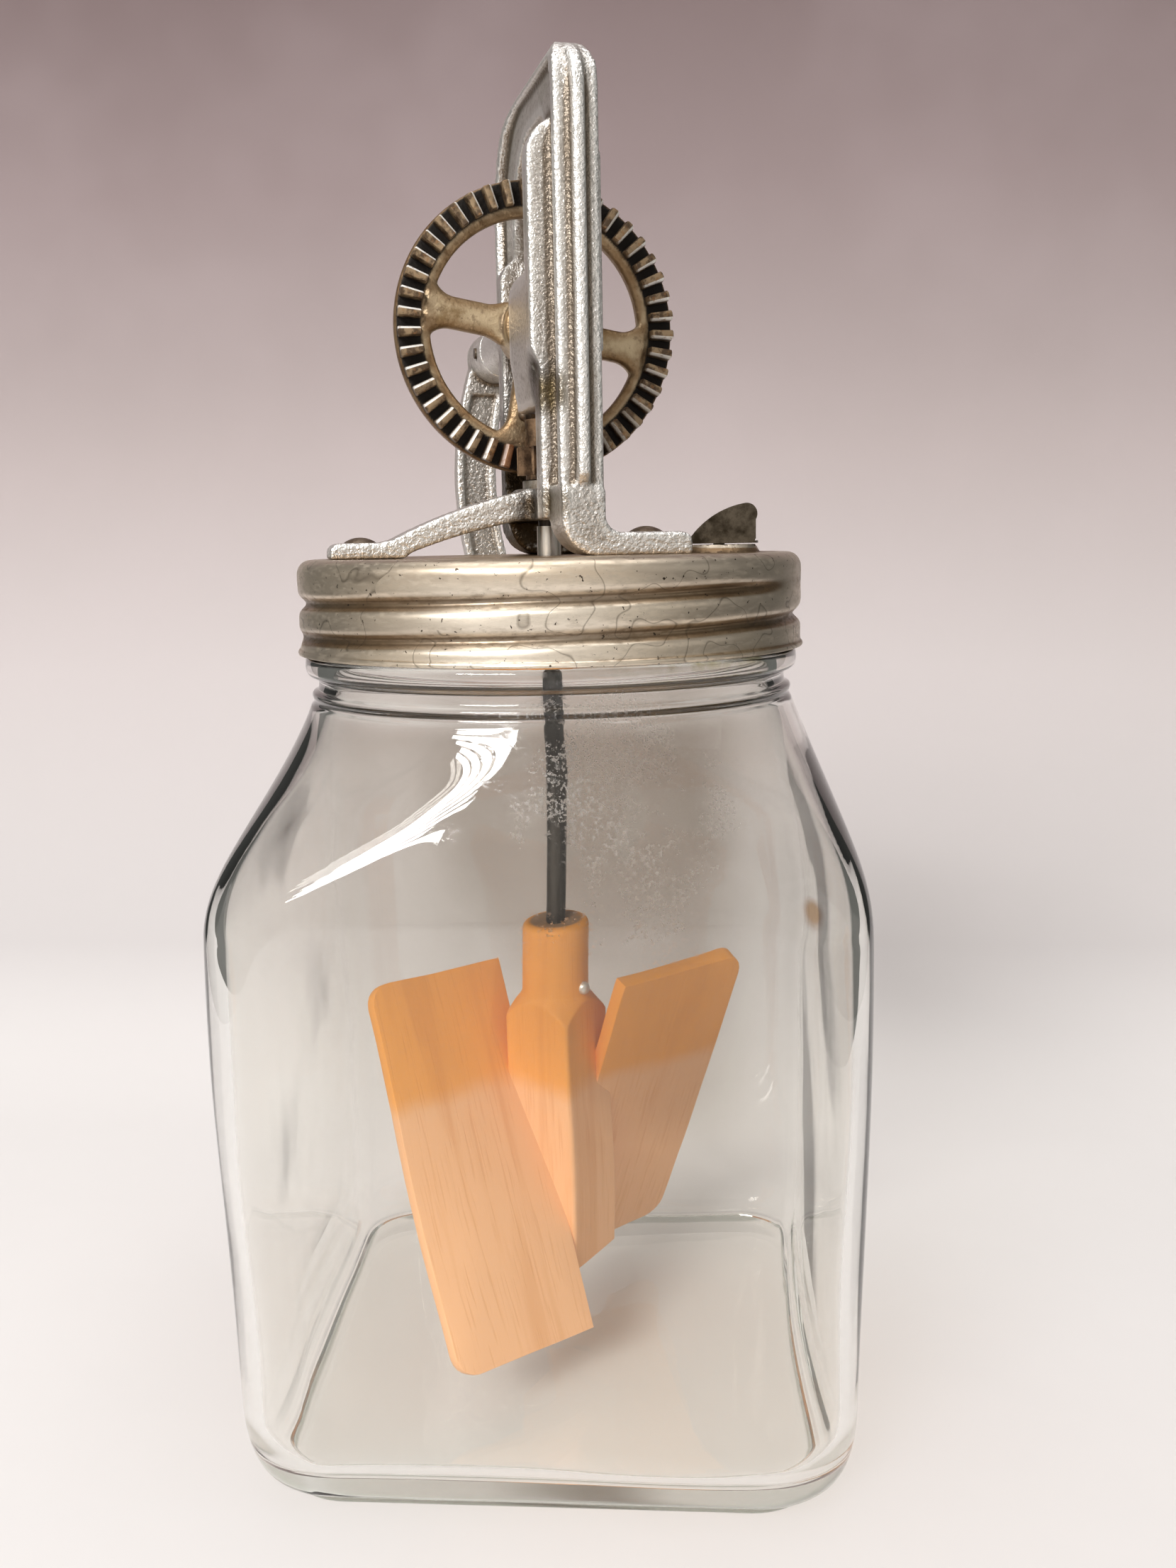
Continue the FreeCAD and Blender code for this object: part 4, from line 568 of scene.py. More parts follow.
def tinned_sheet():
    """Dull tinned sheet: warm grey, brown stain that gathers in the thread, painted shade that darkens it to
    left and right, patchy with the stain, hair marks, worn crests, and a painted highlight that brightens
    the middle below the edge."""
    material, tree, place = new_finish("tinned_lid", Metallic=0.9)
    relief_masks = shared(tree, "relief_masks", Edge_Low=0.55, Edge_High=0.78, Hollow_Low=0.2, Hollow_High=0.48)
    level = scaled(tree, place, (1.0, 1.0, 3.2))
    broad = stains(tree, level, 26.0, 0.36, 0.64)
    fine = stains(tree, level, 310.0, 0.42, 0.68, 7.0)
    specks = stains(tree, place, 900.0, 0.67, 0.72, 2.0)
    marks = shared(tree, "hair_marks", Place=place, Scale=75.0, Width=0.009, Patches=0.46).outputs[0]
    parts = add(tree, "SeparateXYZ", Vector=place)
    aside = maths(tree, "ABSOLUTE", parts.outputs["X"])
    # painted shade: darker to left and right, patchy with the stain
    side_shade = times(tree, ramp(tree, aside, 0.012, 0.058), maths(tree, "ADD", broad, 0.5))
    # painted highlight: the middle below the edge is painted brighter
    painted_sheen = times(tree, ramp(tree, aside, 0.008, 0.04, 0.75, 0.0),
                   ramp(tree, parts.outputs["Z"], 0.219, 0.224, 1.0, 0.0))
    colour = blend_colour(tree, broad, (0.61, 0.45, 0.29), (0.27, 0.17, 0.09))
    colour = blend_colour(tree, painted_sheen, colour, (0.84, 0.76, 0.65))
    colour = coat(tree, colour, side_shade, 0.7, (0.19, 0.12, 0.065))
    colour = coat(tree, colour, fine, 0.6, (0.17, 0.11, 0.055))
    colour = coat(tree, colour, relief_masks.outputs["Hollow"], 0.75, (0.14, 0.095, 0.055))
    colour = coat(tree, colour, relief_masks.outputs["Edge"], 0.5, (0.78, 0.71, 0.6))
    colour = coat(tree, colour, marks, 0.6, (0.1, 0.075, 0.05))
    colour = blend_colour(tree, specks, colour, (0.05, 0.035, 0.025))
    rough = maths(tree, "ADD", spread(tree, fine, 0.3, 0.46), times(tree, broad, 0.08))
    dull = maths(tree, "SUBTRACT", noise(tree, level, 220.0, 4.0), times(tree, marks, 0.4))
    return finished(material, colour, dull, 0.22, 0.0002, Roughness=rough)


def plain_steel(name, base, dark, rough, streaks=1.0, metallic=0.95):
    """Turned or drawn steel: stains stretched by streaks along Z, specks and a soft uneven gloss."""
    material, tree, place = new_finish(name, Metallic=metallic)
    level = scaled(tree, place, (1.0, 1.0, streaks))
    fine = stains(tree, level, 700.0, 0.46, 0.66, 5.0)
    colour = blend_colour(tree, stains(tree, level, 160.0, 0.4, 0.64), base, dark)
    colour = coat(tree, colour, fine, 0.4, dark)
    return finished(material, colour, noise(tree, level, 900.0, 3.0), 0.2, 0.0001,
                    Roughness=spread(tree, fine, rough, rough + 0.18))


def dasher_wood(upper, lower):
    """Bare close-grained wood: orange above the milk line and paler below it, with fine dark pores, and
    soaked dark round the shaft on the hub's top."""
    material, tree, place = new_finish("dasher_bare_wood", Roughness=0.62, Specular_IOR_Level=0.3)
    grain = shared(tree, "wood_grain", Place=kept(tree, "board", "Vector"), Bands=150.0, Pores=1700.0)
    height = add(tree, "SeparateXYZ", Vector=place).outputs["Z"]
    drift = times(tree, maths(tree, "SUBTRACT", noise(tree, place, 60.0, 2.0), 0.5), 0.006)
    dry = ramp(tree, maths(tree, "ADD", height, drift), MILK_LINE - MILK_FADE, MILK_LINE + MILK_FADE)
    stain = stains(tree, place, 45.0, 0.4, 0.7)
    top = blend_colour(tree, times(tree, stain, 0.25), upper, tuple(c * 0.8 for c in upper))
    colour = blend_colour(tree, dry, lower, top)
    reach = distance(tree, scaled(tree, place, (1.0, 1.0, 0.0)), (0.0, 0.0, 0.0))
    soaked = times(tree, ramp(tree, reach, 0.0065, 0.008, 1.0, 0.0), ramp(tree, height, 0.126, 0.1275))
    colour = coat(tree, colour, soaked, 0.85, (0.2, 0.16, 0.12))
    dark = tuple(c * f for c, f in zip(upper, (0.72, 0.62, 0.5)))
    colour = coat(tree, colour, ramp(tree, grain.outputs["Figure"], 0.5, 0.72), 0.3, dark)
    colour = coat(tree, colour, grain.outputs["Pore"], 0.24, dark)
    return finished(material, colour, grain.outputs["Height"], 0.22, 0.00015)


def knob_wood():
    """Varnished turned wood: brown figure along the handle, darker in streaks, with worn varnish."""
    material, tree, place = new_finish("knob_varnished_wood", Roughness=0.3, Coat_Weight=0.35,
                                       Coat_Roughness=0.15)
    grain = shared(tree, "wood_grain", Place=kept(tree, "board", "Vector"), Bands=160.0, Pores=1400.0)
    figure = ramp(tree, grain.outputs["Figure"], 0.35, 0.7)
    colour = blend_colour(tree, figure, (0.36, 0.15, 0.06), (0.16, 0.06, 0.025))
    colour = blend_colour(tree, grain.outputs["Pore"], colour, (0.07, 0.028, 0.012))
    colour = coat(tree, colour, stains(tree, place, 90.0, 0.4, 0.66), 0.35, (0.42, 0.2, 0.09))
    return finished(material, colour, grain.outputs["Height"], 0.12, 0.0001)


def jar_glass(tint):
    """Clear pressed glass with a faint green body and soft waves. Its tint darkens towards the shoulder and
    round a clouded spot, with specks of dried cream below the neck, an olive rest behind the bead, a brown
    spot at the right corner, and a darker green at the foot, partly the glass's own green and partly
    painted shade.
    Light on its way to dull surfaces passes straight through, and so does what has been mirrored inside
    too often, sooner in the thick base, so that the glass doesn't go black there."""
    material, tree, place = new_finish("jar_clear_glass", Roughness=0.0, IOR=1.5, Transmission_Weight=1.0,
                                       Base_Color=tint)
    parts = add(tree, "SeparateXYZ", Vector=place)
    height = parts.outputs["Z"]
    aside = maths(tree, "ABSOLUTE", parts.outputs["X"])
    drift = times(tree, maths(tree, "SUBTRACT", noise(tree, place, 15.0, 3.0), 0.5), 0.08)
    clouded = distance(tree, scaled(tree, place, (1.0, 0.0, 1.0)), CLOUDED_SPOT)
    # the tint darkens towards the shoulder and round the clouded spot
    darkening = maths(tree, "MAXIMUM", ramp(tree, maths(tree, "ADD", height, drift), 0.03, 0.16, 0.0, 0.75),
                 ramp(tree, maths(tree, "ADD", clouded, drift), 0.035, 0.09, 1.0, 0.0))
    darkening = times(tree, darkening, ramp(tree, height, 0.186, 0.192, 1.0, 0.2))
    darkening = times(tree, darkening, ramp(tree, aside, 0.035, 0.06, 1.0, 0.2))
    colour = blend_colour(tree, darkening, tint, tuple(c * f for c, f in zip(tint, (0.64, 0.61, 0.575))))
    reach = maths(tree, "MAXIMUM", aside, maths(tree, "ABSOLUTE", parts.outputs["Y"]))
    # painted shade: a dark green band round the foot where it stands on the paper, over the glass's own
    # green
    foot = times(tree, ramp(tree, height, 0.0022, 0.0036, 0.8, 0.0), ramp(tree, reach, 0.0655, 0.067))
    colour = blend_colour(tree, foot, colour, (0.16, 0.2, 0.14))
    bead = times(tree, ramp(tree, height, 0.1995, 0.203), ramp(tree, height, 0.204, 0.208, 0.9, 0.0))
    bead = times(tree, bead, ramp(tree, parts.outputs["X"], 0.01, 0.04))
    colour = coat(tree, colour, bead, stains(tree, place, 130.0, 0.4, 0.6), (0.42, 0.36, 0.1))
    brown = distance(tree, scaled(tree, place, (1.0, 1.0, 0.5)), BROWN_SPOT)
    colour = blend_colour(tree, ramp(tree, brown, 0.0012, 0.0032, 0.95, 0.0), colour, (0.36, 0.17, 0.05))
    specks = times(tree, stains(tree, place, 1100.0, 0.52, 0.6, 4.0), stains(tree, place, 60.0, 0.4, 0.6))
    dusty = times(tree, specks, ramp(tree, distance(tree, place, DUSTY_SPOT), 0.018, 0.045, 1.0, 0.0))
    path = tree.nodes.new("ShaderNodeLightPath")
    clear = add(tree, "BsdfTransparent", Color=(0.97, 0.966, 0.958, 1.0)).outputs[0]
    glass = tree.nodes["Principled BSDF"].outputs[0]
    trapped = maths(tree, "GREATER_THAN", path.outputs["Glossy Depth"],
                    ramp(tree, height, 0.008, 0.03, 1.5, 5.5))
    freed = blend_shader(tree, trapped, glass, clear)
    surface = blend_shader(tree, path.outputs["Is Singular Ray"], glass, freed)
    for share in (path.outputs["Is Shadow Ray"], path.outputs["Is Diffuse Ray"]):
        surface = blend_shader(tree, share, surface, clear)
    body = add(tree, "VolumeAbsorption", Color=(0.78, 0.84, 0.79, 1.0), Density=7.0).outputs[0]
    output = tree.nodes["Material Output"]
    tree.links.new(surface, output.inputs["Surface"])
    tree.links.new(body, output.inputs["Volume"])
    return finished(material, colour, noise(tree, place, 42.0, 1.0), 0.12, 0.001,
                    Roughness=times(tree, dusty, 0.5))


def gasket_board():
    """Waxed board ring, brown and soft, with pressed fibres."""
    material, tree, place = new_finish("gasket_waxed_board", Roughness=0.7)
    stain = stains(tree, place, 140.0, 0.4, 0.66)
    fibre = stains(tree, place, 1200.0, 0.5, 0.7, 3.0)
    colour = blend_colour(tree, stain, (0.42, 0.33, 0.22), (0.22, 0.15, 0.09))
    colour = coat(tree, colour, fibre, 0.3, (0.6, 0.52, 0.4))
    return finished(material, colour, fibre, 0.3, 0.0001)


# The jar

def side_half(height):
    """Half width of the jar's flat side: a slight outward taper, cut off softly by the sloping shoulder."""
    side = 77.9 - 1.8 * smooth_fall(height, 25.0, 115.0)
    slope = 61.8 + 0.40 * (193.0 - height)
    return 0.5 * (side + slope - np.sqrt((side - slope) ** 2 + 9.0))


def corner_at(height, half):
    """Corner radius of the jar's section, growing from the body's own to a full circle at the neck."""
    return 20.8 + (half - 1.2 - 20.8) * smooth_step(height, SHOULDER_LOW, 190.0)


def glass_wall(height):
    """Thickness of the glass, thinning up the shoulder."""
    return JAR_WALL - 0.5 * np.clip((height - SHOULDER_LOW) / 51.0, 0.0, 1.0)


def square_radius(angle, half, corner):
    """Distance from the axis to a square with round corners, along an angle: half over the cosine on the
    flat, else the far crossing with the corner's circle."""
    fold = np.abs((angle + math.pi / 4.0) % (math.pi / 2.0) - math.pi / 4.0)
    inner = half - corner
    flat = half / np.cos(fold)
    under = corner ** 2 - inner ** 2 * (np.cos(fold) - np.sin(fold)) ** 2
    arc = inner * (np.cos(fold) + np.sin(fold)) + np.sqrt(np.maximum(under, 0.0))
    return np.where(half * np.tan(fold) <= inner, flat, arc)


def corner_heavy_angles(columns):
    """Angles round the axis that crowd at the four corners: s + 0.35 sin(4s) / 4."""
    s = np.arange(columns) * 2.0 * math.pi / columns
    return s + 0.35 * np.sin(4.0 * s) / 4.0


def thread_lift(height, angle, start, wire, sunk):
    """How far a helical wire of this radius, sunk below the surface, stands out over (height, angle); it
    rises by the pitch each turn from azimuth 180 degrees and fades at both ends."""
    turn = (np.degrees(angle) - 180.0) % 360.0
    last = THREAD_TURNS * 360.0
    lift = np.zeros(np.broadcast(height, angle).shape)
    for lap in (0.0, 360.0):
        along = turn + lap
        ends = smooth_step(along, 0.0, 28.0) * smooth_fall(along, last - 28.0, last)
        off = height - (start + THREAD_PITCH * along / 360.0)
        rise = np.sqrt(np.maximum(wire * wire - off * off, 0.0)) - sunk
        lift = np.maximum(lift, np.maximum(rise, 0.0) * ends)
    return lift


def jar_profile():
    """Rows of (height, half width, corner radius) from the middle of the base over the outside and the lip
    and down the inside to the middle of the floor, and how many of them are the outside's."""
    push = np.array([4.0, 12.0, 24.0, 36.0, 47.0, 55.0, 60.0, 63.5, 65.5])
    rows = [abreast(1.3 * smooth_fall(push, 40.0, 66.0), push, push * 0.284)]
    edge = np.radians(np.linspace(0.0, 90.0, 6))
    rows.append(abreast(3.0 - 3.0 * np.cos(edge), 66.0 + 3.0 * np.sin(edge), 16.6 + 3.0 * np.sin(edge)))
    rows.append(np.array([[4.1, 69.05, 19.6], [4.4, 69.4, 19.8], [4.55, 70.2, 20.2]]))
    heel = np.radians(np.linspace(6.0, 90.0, 22))
    height = 4.5 + 20.0 * (1.0 - np.cos(heel))
    half = side_half(height) - 5.2 * (1.0 - np.sin(heel))
    rows.append(abreast(height, half, corner_at(height, half)))
    height = np.concatenate([np.linspace(27.0, 138.0, 26), np.linspace(140.0, 190.5, 52)])
    half = side_half(height)
    rows.append(abreast(height, half, corner_at(height, half)))
    neck = stepped(softened([
        (62.5, 190.8), (62.0, 191.8), (62.6, 192.4), (62.6, 193.7), (61.0, 194.3), (60.8, 196.2),
        (NECK_OUTSIDE, 197.4), (63.2, 197.9), (64.0, 199.2), (64.0, 202.1), (63.1, 203.0),
        (NECK_OUTSIDE, 203.2), (NECK_OUTSIDE, 206.0)], 2), 0.42)
    rows.append(abreast(neck[:, 1], neck[:, 0], neck[:, 0]))
    rows.append(abreast(np.arange(206.4, 222.3, 0.36), NECK_OUTSIDE, NECK_OUTSIDE))
    lip = np.concatenate([quarter((59.4, LIP_ROUND), 1.5, 0.0, 90.0),
                          quarter((58.5, LIP_ROUND), 1.5, 90.0, 180.0)])
    rows.append(abreast(lip[:, 1], lip[:, 0], lip[:, 0]))
    outside = sum(len(r) for r in rows)
    rows.append(abreast(np.linspace(221.5, 193.0, 14), NECK_INSIDE, NECK_INSIDE))
    height = np.concatenate([np.linspace(191.0, 140.0, 40), np.linspace(136.0, 26.0, 22)])
    half = side_half(height)
    rows.append(abreast(height, half - glass_wall(height), corner_at(height, half) - glass_wall(height)))
    heel = np.radians(np.linspace(84.0, 0.0, 18))
    height = JAR_FLOOR + 14.0 * (1.0 - np.cos(heel))
    half = side_half(height)
    inset = JAR_WALL + 6.5 * (1.0 - np.sin(heel))
    rows.append(abreast(height, half - inset, corner_at(height, half) - JAR_WALL))
    floor = np.array([60.0, 54.0, 46.0, 37.0, 27.0, 17.0, 8.0, 3.0])
    rows.append(abreast(JAR_FLOOR + 0.9 * smooth_fall(floor, 8.0, 62.0), floor, floor * 0.25))
    return np.concatenate(rows), outside


def jar_shape(waves):
    """The jar's one closed skin: the profile's square radius at every angle, with the thread and slow waves
    added, which are products and sums of sines of angle and height."""
    rows, outside = jar_profile()
    height, half, corner = (rows[:, k:k + 1] for k in range(3))
    angle = corner_heavy_angles(256)[None, :]
    radius = square_radius(angle, half, corner)
    on_outside = (np.arange(len(rows)) < outside)[:, None]
    on_neck = on_outside & (height > 203.2) & (height < LIP_ROUND) & (half > 60.0)
    radius = radius + np.where(on_neck, thread_lift(height, angle, 207.6, 2.0, 1.0), 0.0)
    slow = np.sin(3.0 * angle + height / 29.0) * np.sin(height / 21.0 + 1.0) + 0.6 * np.sin(
        5.0 * angle - height / 17.0 + 2.0)
    fade = smooth_step(height, 6.0, 30.0) * smooth_fall(height, 178.0, 192.0)
    radius = radius + waves * slow * fade * np.where(on_outside, 0.35, -1.0)
    floor = (~on_outside) & (height < 14.0)
    ripple = np.sin(radius / 6.0 + 2.0 * angle) * 0.5 + np.sin(3.0 * angle + radius / 9.0)
    rings = about_axis(radius, angle, height + np.where(floor, waves * 0.9 * ripple, 0.0))
    return skin(rings, ((0.0, 0.0, 1.3), (0.0, 0.0, 9.9)))


# The lid

def lid_shape(dents):
    """The lid's closed shell, a profile turned about Z: from the middle of the top over the edge and down
    the side to the beaded rim, and back 0.8 mm further in. The formed thread is a bell curve's groove that
    climbs round the side; dents are sines of the angle, and the vent's boss is a smooth step."""
    top = np.concatenate([np.arange(3.0, 32.0, 3.6), np.arange(32.6, 57.5, 0.62), [58.6, 59.8, 60.8]])
    side = np.arange(223.1, 204.9, -0.38)
    outer = np.concatenate([
        abreast(top, LID_TOP), quarter((61.5, 223.5), 3.5, 90.0, 0.0, 9), abreast(LID_SIDE, side),
        [(65.1, 204.7), (65.45, 204.4), (65.6, 203.9), (65.45, 203.45), (65.0, 203.3)]])
    inner = np.concatenate([
        [(64.5, 203.35), (LID_INSIDE, 203.7)], abreast(LID_INSIDE, side[::-1]),
        quarter((61.5, 223.5), 2.7, 0.0, 90.0, 7), abreast(top[::-1], LID_UNDER)])
    profile = np.concatenate([outer, inner])
    is_inner = (np.arange(len(profile)) >= len(outer))[:, None]
    angle = (np.arange(384) * 2.0 * math.pi / 384)[None, :]
    radius, height = profile[:, :1], profile[:, 1:]
    turn = (np.degrees(angle) - 180.0) % 360.0
    depth = np.zeros((len(profile), angle.size))
    for lap in (0.0, 360.0):
        along = turn + lap
        ends = smooth_step(along, 0.0, 30.0) * smooth_fall(along, 492.0, 522.0)
        off = height - (207.4 + THREAD_PITCH * along / 360.0)
        depth = np.maximum(depth, 2.0 * np.exp(-(off / 1.6) ** 2) * ends)
    on_side = (radius > 63.9) & (height < 223.6) & (height > 204.8)
    uneven = np.sin(5.0 * angle + 1.0) + 0.7 * np.sin(9.0 * angle + height)
    pushed = radius + (-np.where(on_side, depth, 0.0) + np.where(radius > 60.0, dents * uneven, 0.0))
    x, y = pushed * np.cos(angle), pushed * np.sin(angle)
    apart = np.hypot(x - VENT_SPOT[0], y - VENT_SPOT[1])
    on_top = (height > 226.1) & (radius < 61.6)
    boss = 2.0 * np.where(is_inner, smooth_fall(apart, 8.6, 9.9), smooth_fall(apart, 9.4, 10.7))
    sag = np.where(apart > 11.0, dents * 2.0 * np.sin(radius / 9.0) * np.sin(2.0 * angle + 0.5), 0.0)
    sag = sag * smooth_step(radius, 8.0, 20.0) * smooth_fall(radius, 44.0, 58.0)
    rings = abreast(x, y, height + np.where(on_top, boss + sag, 0.0))
    return skin(rings, ((0.0, 0.0, LID_TOP), (0.0, 0.0, LID_UNDER)))


def cut_holes(piece, holes):
    """Drill upright round holes, given as (x, y, radius), through a closed piece with exact booleans."""
    cutters = []
    for x, y, radius in holes:
        low, high = LID_TOP - 7.0, LID_TOP + 6.0
        points, quads, triangles = lathe([(0.0, low), (radius, low), (radius, high), (0.0, high)], 40)
        cutter = piece_from(piece.name + "_drill", points + (x, y, 0.0), quads, triangles, 0.0)
        cutter.hide_render = True
        modifier = piece.modifiers.new("hole", "BOOLEAN")
        modifier.operation = "DIFFERENCE"
        modifier.solver = "EXACT"
        modifier.object = cutter
        cutters.append(cutter)
    bpy.context.view_layer.update()
    graph = bpy.context.evaluated_depsgraph_get()
    mesh = bpy.data.meshes.new_from_object(piece.evaluated_get(graph))
    piece.modifiers.clear()
    piece.data = mesh
    for cutter in cutters:
        bpy.data.objects.remove(cutter)
    return piece


# The drive wheel

def bar_between(stations, side_shade=24, power=3.2):
    """A bar along X through (x, middle y, middle z, half y, half z) stations, its section a rounded box
    |y/a|^p + |z/b|^p = 1, closed with a point at each end."""
    angle = np.arange(side_shade) * 2.0 * math.pi / side_shade
    c, s = np.cos(angle), np.sin(angle)
    unit_y, unit_z = np.sign(c) * np.abs(c) ** (2.0 / power), np.sign(s) * np.abs(s) ** (2.0 / power)
    x, y, z, half_y, half_z = (stations[:, k:k + 1] for k in range(5))
    rings = abreast(x, y + half_y * unit_y, z + half_z * unit_z)
    return skin(rings, (stations[0, :3], stations[-1, :3]))


def wheel_casting_shape():
    """Rim, hub and four flared spokes as closed shapes that run into each other, drawn about Z with the
    front at low Z; the remesh then melts them into one casting."""
    rim = lathe(softened([(27.8, 9.6), (28.6, 8.7), (36.3, 8.7), (37.0, 9.6), (37.0, 12.2), (36.3, 13.0),
                          (28.6, 13.0), (27.8, 12.2), (27.8, 9.6)], 1)[:-1], 160, looped=True)
    hub = lathe(softened([(4.1, 5.0), (8.2, 5.0), (9.0, 5.8), (9.0, 16.8), (8.4, 17.5), (4.1, 17.5),
                          (4.1, 5.0)], 1)[:-1], 72, looped=True)
    reach = np.concatenate([[6.5], np.linspace(7.0, 21.0, 8), np.linspace(22.0, 28.8, 9), [29.2]])
    flare = 6.2 - np.sqrt(np.maximum(6.2 ** 2 - np.clip(reach - 22.2, 0.0, 6.2) ** 2, 0.0))
    half = 4.0 + flare + 1.6 * smooth_fall(reach, 8.0, 13.0)
    points, quads, triangles = bar_between(abreast(reach, 0.0, 10.6, half, 2.4))
    spokes = [(turned(points, math.radians(10.0 + 360.0 / SPOKES * turn)), quads, triangles)
              for turn in range(SPOKES)]
    return joined([rim, hub, *spokes])


def wheel_teeth_shape():
    """Teeth on the rim's front: each a bar along its radius, wider further out, its section a flat top with
    sloping flanks; also how bright and how low each point is."""
    section = np.array([(-1.4, 9.4), (-1.3, 6.0), (-1.12, 5.6), (-0.9, 5.48), (0.25, 5.32), (0.45, 5.42),
                        (0.85, 6.1), (1.1, 7.0), (1.3, 9.4)])
    stations = np.array([(30.45, 0.82, 0.5), (30.75, 1.0, 0.0), (33.5, 1.0, 0.0), (36.2, 1.0, 0.0),
                         (36.5, 0.82, 0.4)])
    share = stations[:, 0] / TOOTH_MIDDLE
    across = section[None, :, 0] * share[:, None] * stations[:, 1:2]
    depth = section[None, :, 1] + stations[:, 2:3] * (section[None, :, 1] < 9.0)
    rings = abreast(stations[:, :1], across, depth)
    points, quads, triangles = skin(rings, (rings[0].mean(0), rings[-1].mean(0)))
    parts = [(turned(points, math.radians(90.0 + 360.0 / TEETH * number)), quads, triangles)
             for number in range(TEETH)]
    # one side of each tip paler: partly rubbed metal, partly painted highlight
    bright = smooth_step(points[:, 1], 0.28, 0.44) * smooth_fall(points[:, 2], 6.0, 7.0)
    # painted shade with grease: near black low down between the teeth
    low = smooth_step(points[:, 2], 5.9, 8.4)
    return joined(parts), np.tile(bright, TEETH), np.tile(low, TEETH)


# The dasher

def board_shape(yaw):
    """One board of the dasher: its outline with two round outer corners, carried through rows of thickness
    and inset that round its edges, then slanted and turned; also each point's own place, for the grain."""
    long, inner, outer = 51.2, 6.6, 48.7
    outline = np.concatenate([
        [(inner, -long)], quarter((outer - 6.0, -long + 6.0), 6.0, -90.0, 0.0, 9),
        quarter((outer - 6.0, long - 6.0), 6.0, 0.0, 90.0, 9), [(inner, long)], [(inner, -long)]])
    outline = stepped(outline, 1.6)[:-1]
    ahead = np.roll(outline, -1, 0) - np.roll(outline, 1, 0)
    ahead /= np.linalg.norm(ahead, axis=1)[:, None]
    inward = abreast(-ahead[:, 1], ahead[:, 0])
    rows = [(0.4, 2.0), (0.1, 1.93), (0.0, 1.7), (0.0, 0.0), (0.0, -1.7), (0.1, -1.93), (0.4, -2.0)]
    rings = np.stack([abreast(outline[:, 0] + inset * inward[:, 0], depth,
                              outline[:, 1] + inset * inward[:, 1]) for inset, depth in rows])
    middle = 0.5 * (inner + outer)
    points, quads, triangles = skin(rings, ((middle, 2.0, 0.0), (middle, -2.0, 0.0)))
    y = points[:, 1] * math.cos(BOARD_SLANT) - points[:, 2] * math.sin(BOARD_SLANT)
    z = points[:, 1] * math.sin(BOARD_SLANT) + points[:, 2] * math.cos(BOARD_SLANT)
    placed = turned(abreast(points[:, 0], y, z + BOARD_MIDDLE), math.radians(yaw))
    return (placed, quads, triangles), points * MM


def hub_shape():
    """The dasher's hub: at each height the nearer of a square with eased corners and a turned profile."""
    profile = np.concatenate([
        [(0.6, 34.0), (13.0, 34.0), (14.0, 34.5)], abreast(14.1, np.linspace(36.0, 102.0, 20)),
        stepped([(14.1, 102.6), (13.6, 103.6), (9.7, 108.4), (9.2, 109.6)], 0.7),
        abreast(9.15, np.linspace(111.0, 125.5, 8)),
        quarter((7.65, 126.5), 1.5, 0.0, 90.0, 6),
        [(6.0, 128.0), (4.2, 127.9), (2.75, 127.6), (2.72, 124.0)]])
    angle = corner_heavy_angles(192)[None, :]
    square = square_radius(angle, 10.25, 1.1)
    ends = np.where(profile[:, 1:] < 34.4, 0.93, 1.0)
    radius = np.minimum(square * ends, profile[:, :1])
    rings = about_axis(radius, angle, profile[:, 1:])
    points, quads, triangles = skin(rings, ((0.0, 0.0, 34.0), (0.0, 0.0, 123.5)))
    return (turned(points, DASHER_YAW), quads, triangles), points * MM


# Settings, one group for each trade

class ChurnShapes(bpy.types.PropertyGroup):
    """Sizes of the dressing."""
    glass_waves: FloatProperty(
        name="Glass Waves", description="Height of the slow waves in the jar's walls", default=0.28 * MM,
        min=0.0, unit="LENGTH")
    lid_dents: FloatProperty(
        name="Lid Dents", description="Depth of the lid's slight dents", default=0.07 * MM,
        min=0.0, unit="LENGTH")
    frame_cell: FloatProperty(
        name="Frame Cell", description="Cell size that melts the gear frame's edges", default=0.72 * MM,
        min=0.3 * MM, unit="LENGTH")
    wheel_cell: FloatProperty(
        name="Wheel Cell", description="Cell size that melts the drive wheel's edges", default=0.5 * MM,
        min=0.3 * MM, unit="LENGTH")


class ChurnFinishes(bpy.types.PropertyGroup):
    """Colours of the dressing."""
    glass_tint: FloatVectorProperty(
        name="Glass Tint", description="Colour of the jar's glass", default=(0.99, 0.985, 0.965),
        min=0.0, max=1.0, subtype="COLOR")
    silver_paint: FloatVectorProperty(
        name="Silver Paint", description="Paint on the gear frame and crank", default=(0.65, 0.615, 0.575),
        min=0.0, max=1.0, subtype="COLOR")
    # this grime colour also paints the shade in the frame's hollows
    frame_grime_and_shade: FloatVectorProperty(
        name="Frame Grime", description="Grime in the frame's hollows", default=(0.15, 0.11, 0.07),
        min=0.0, max=1.0, subtype="COLOR")
    wood_upper: FloatVectorProperty(
        name="Upper Wood", description="Wood above the milk line", default=(0.92, 0.39, 0.07),
        min=0.0, max=1.0, subtype="COLOR")
    wood_lower: FloatVectorProperty(
        name="Lower Wood", description="Wood below the milk line", default=(0.92, 0.5, 0.245),
        min=0.0, max=1.0, subtype="COLOR")


class ChurnStage(bpy.types.PropertyGroup):
    """Camera, lamps and room."""
    lens: FloatProperty(
        name="Lens", description="Camera's focal length", default=31.6, min=1.0, subtype="DISTANCE_CAMERA")
    key_power: FloatProperty(
        name="Key Power", description="Power of the slatted key lamp", default=23.5, min=0.0, unit="POWER")
    fill_power: FloatProperty(
        name="Fill Power", description="Power of the broad fill lamp", default=2.5, min=0.0, unit="POWER")
    top_power: FloatProperty(
        name="Top Power", description="Power of the panel above the paper", default=25.0, min=0.0,
        unit="POWER")
    room_level: FloatProperty(
        name="Room Level", description="Brightness of the room", default=0.24, min=0.0)


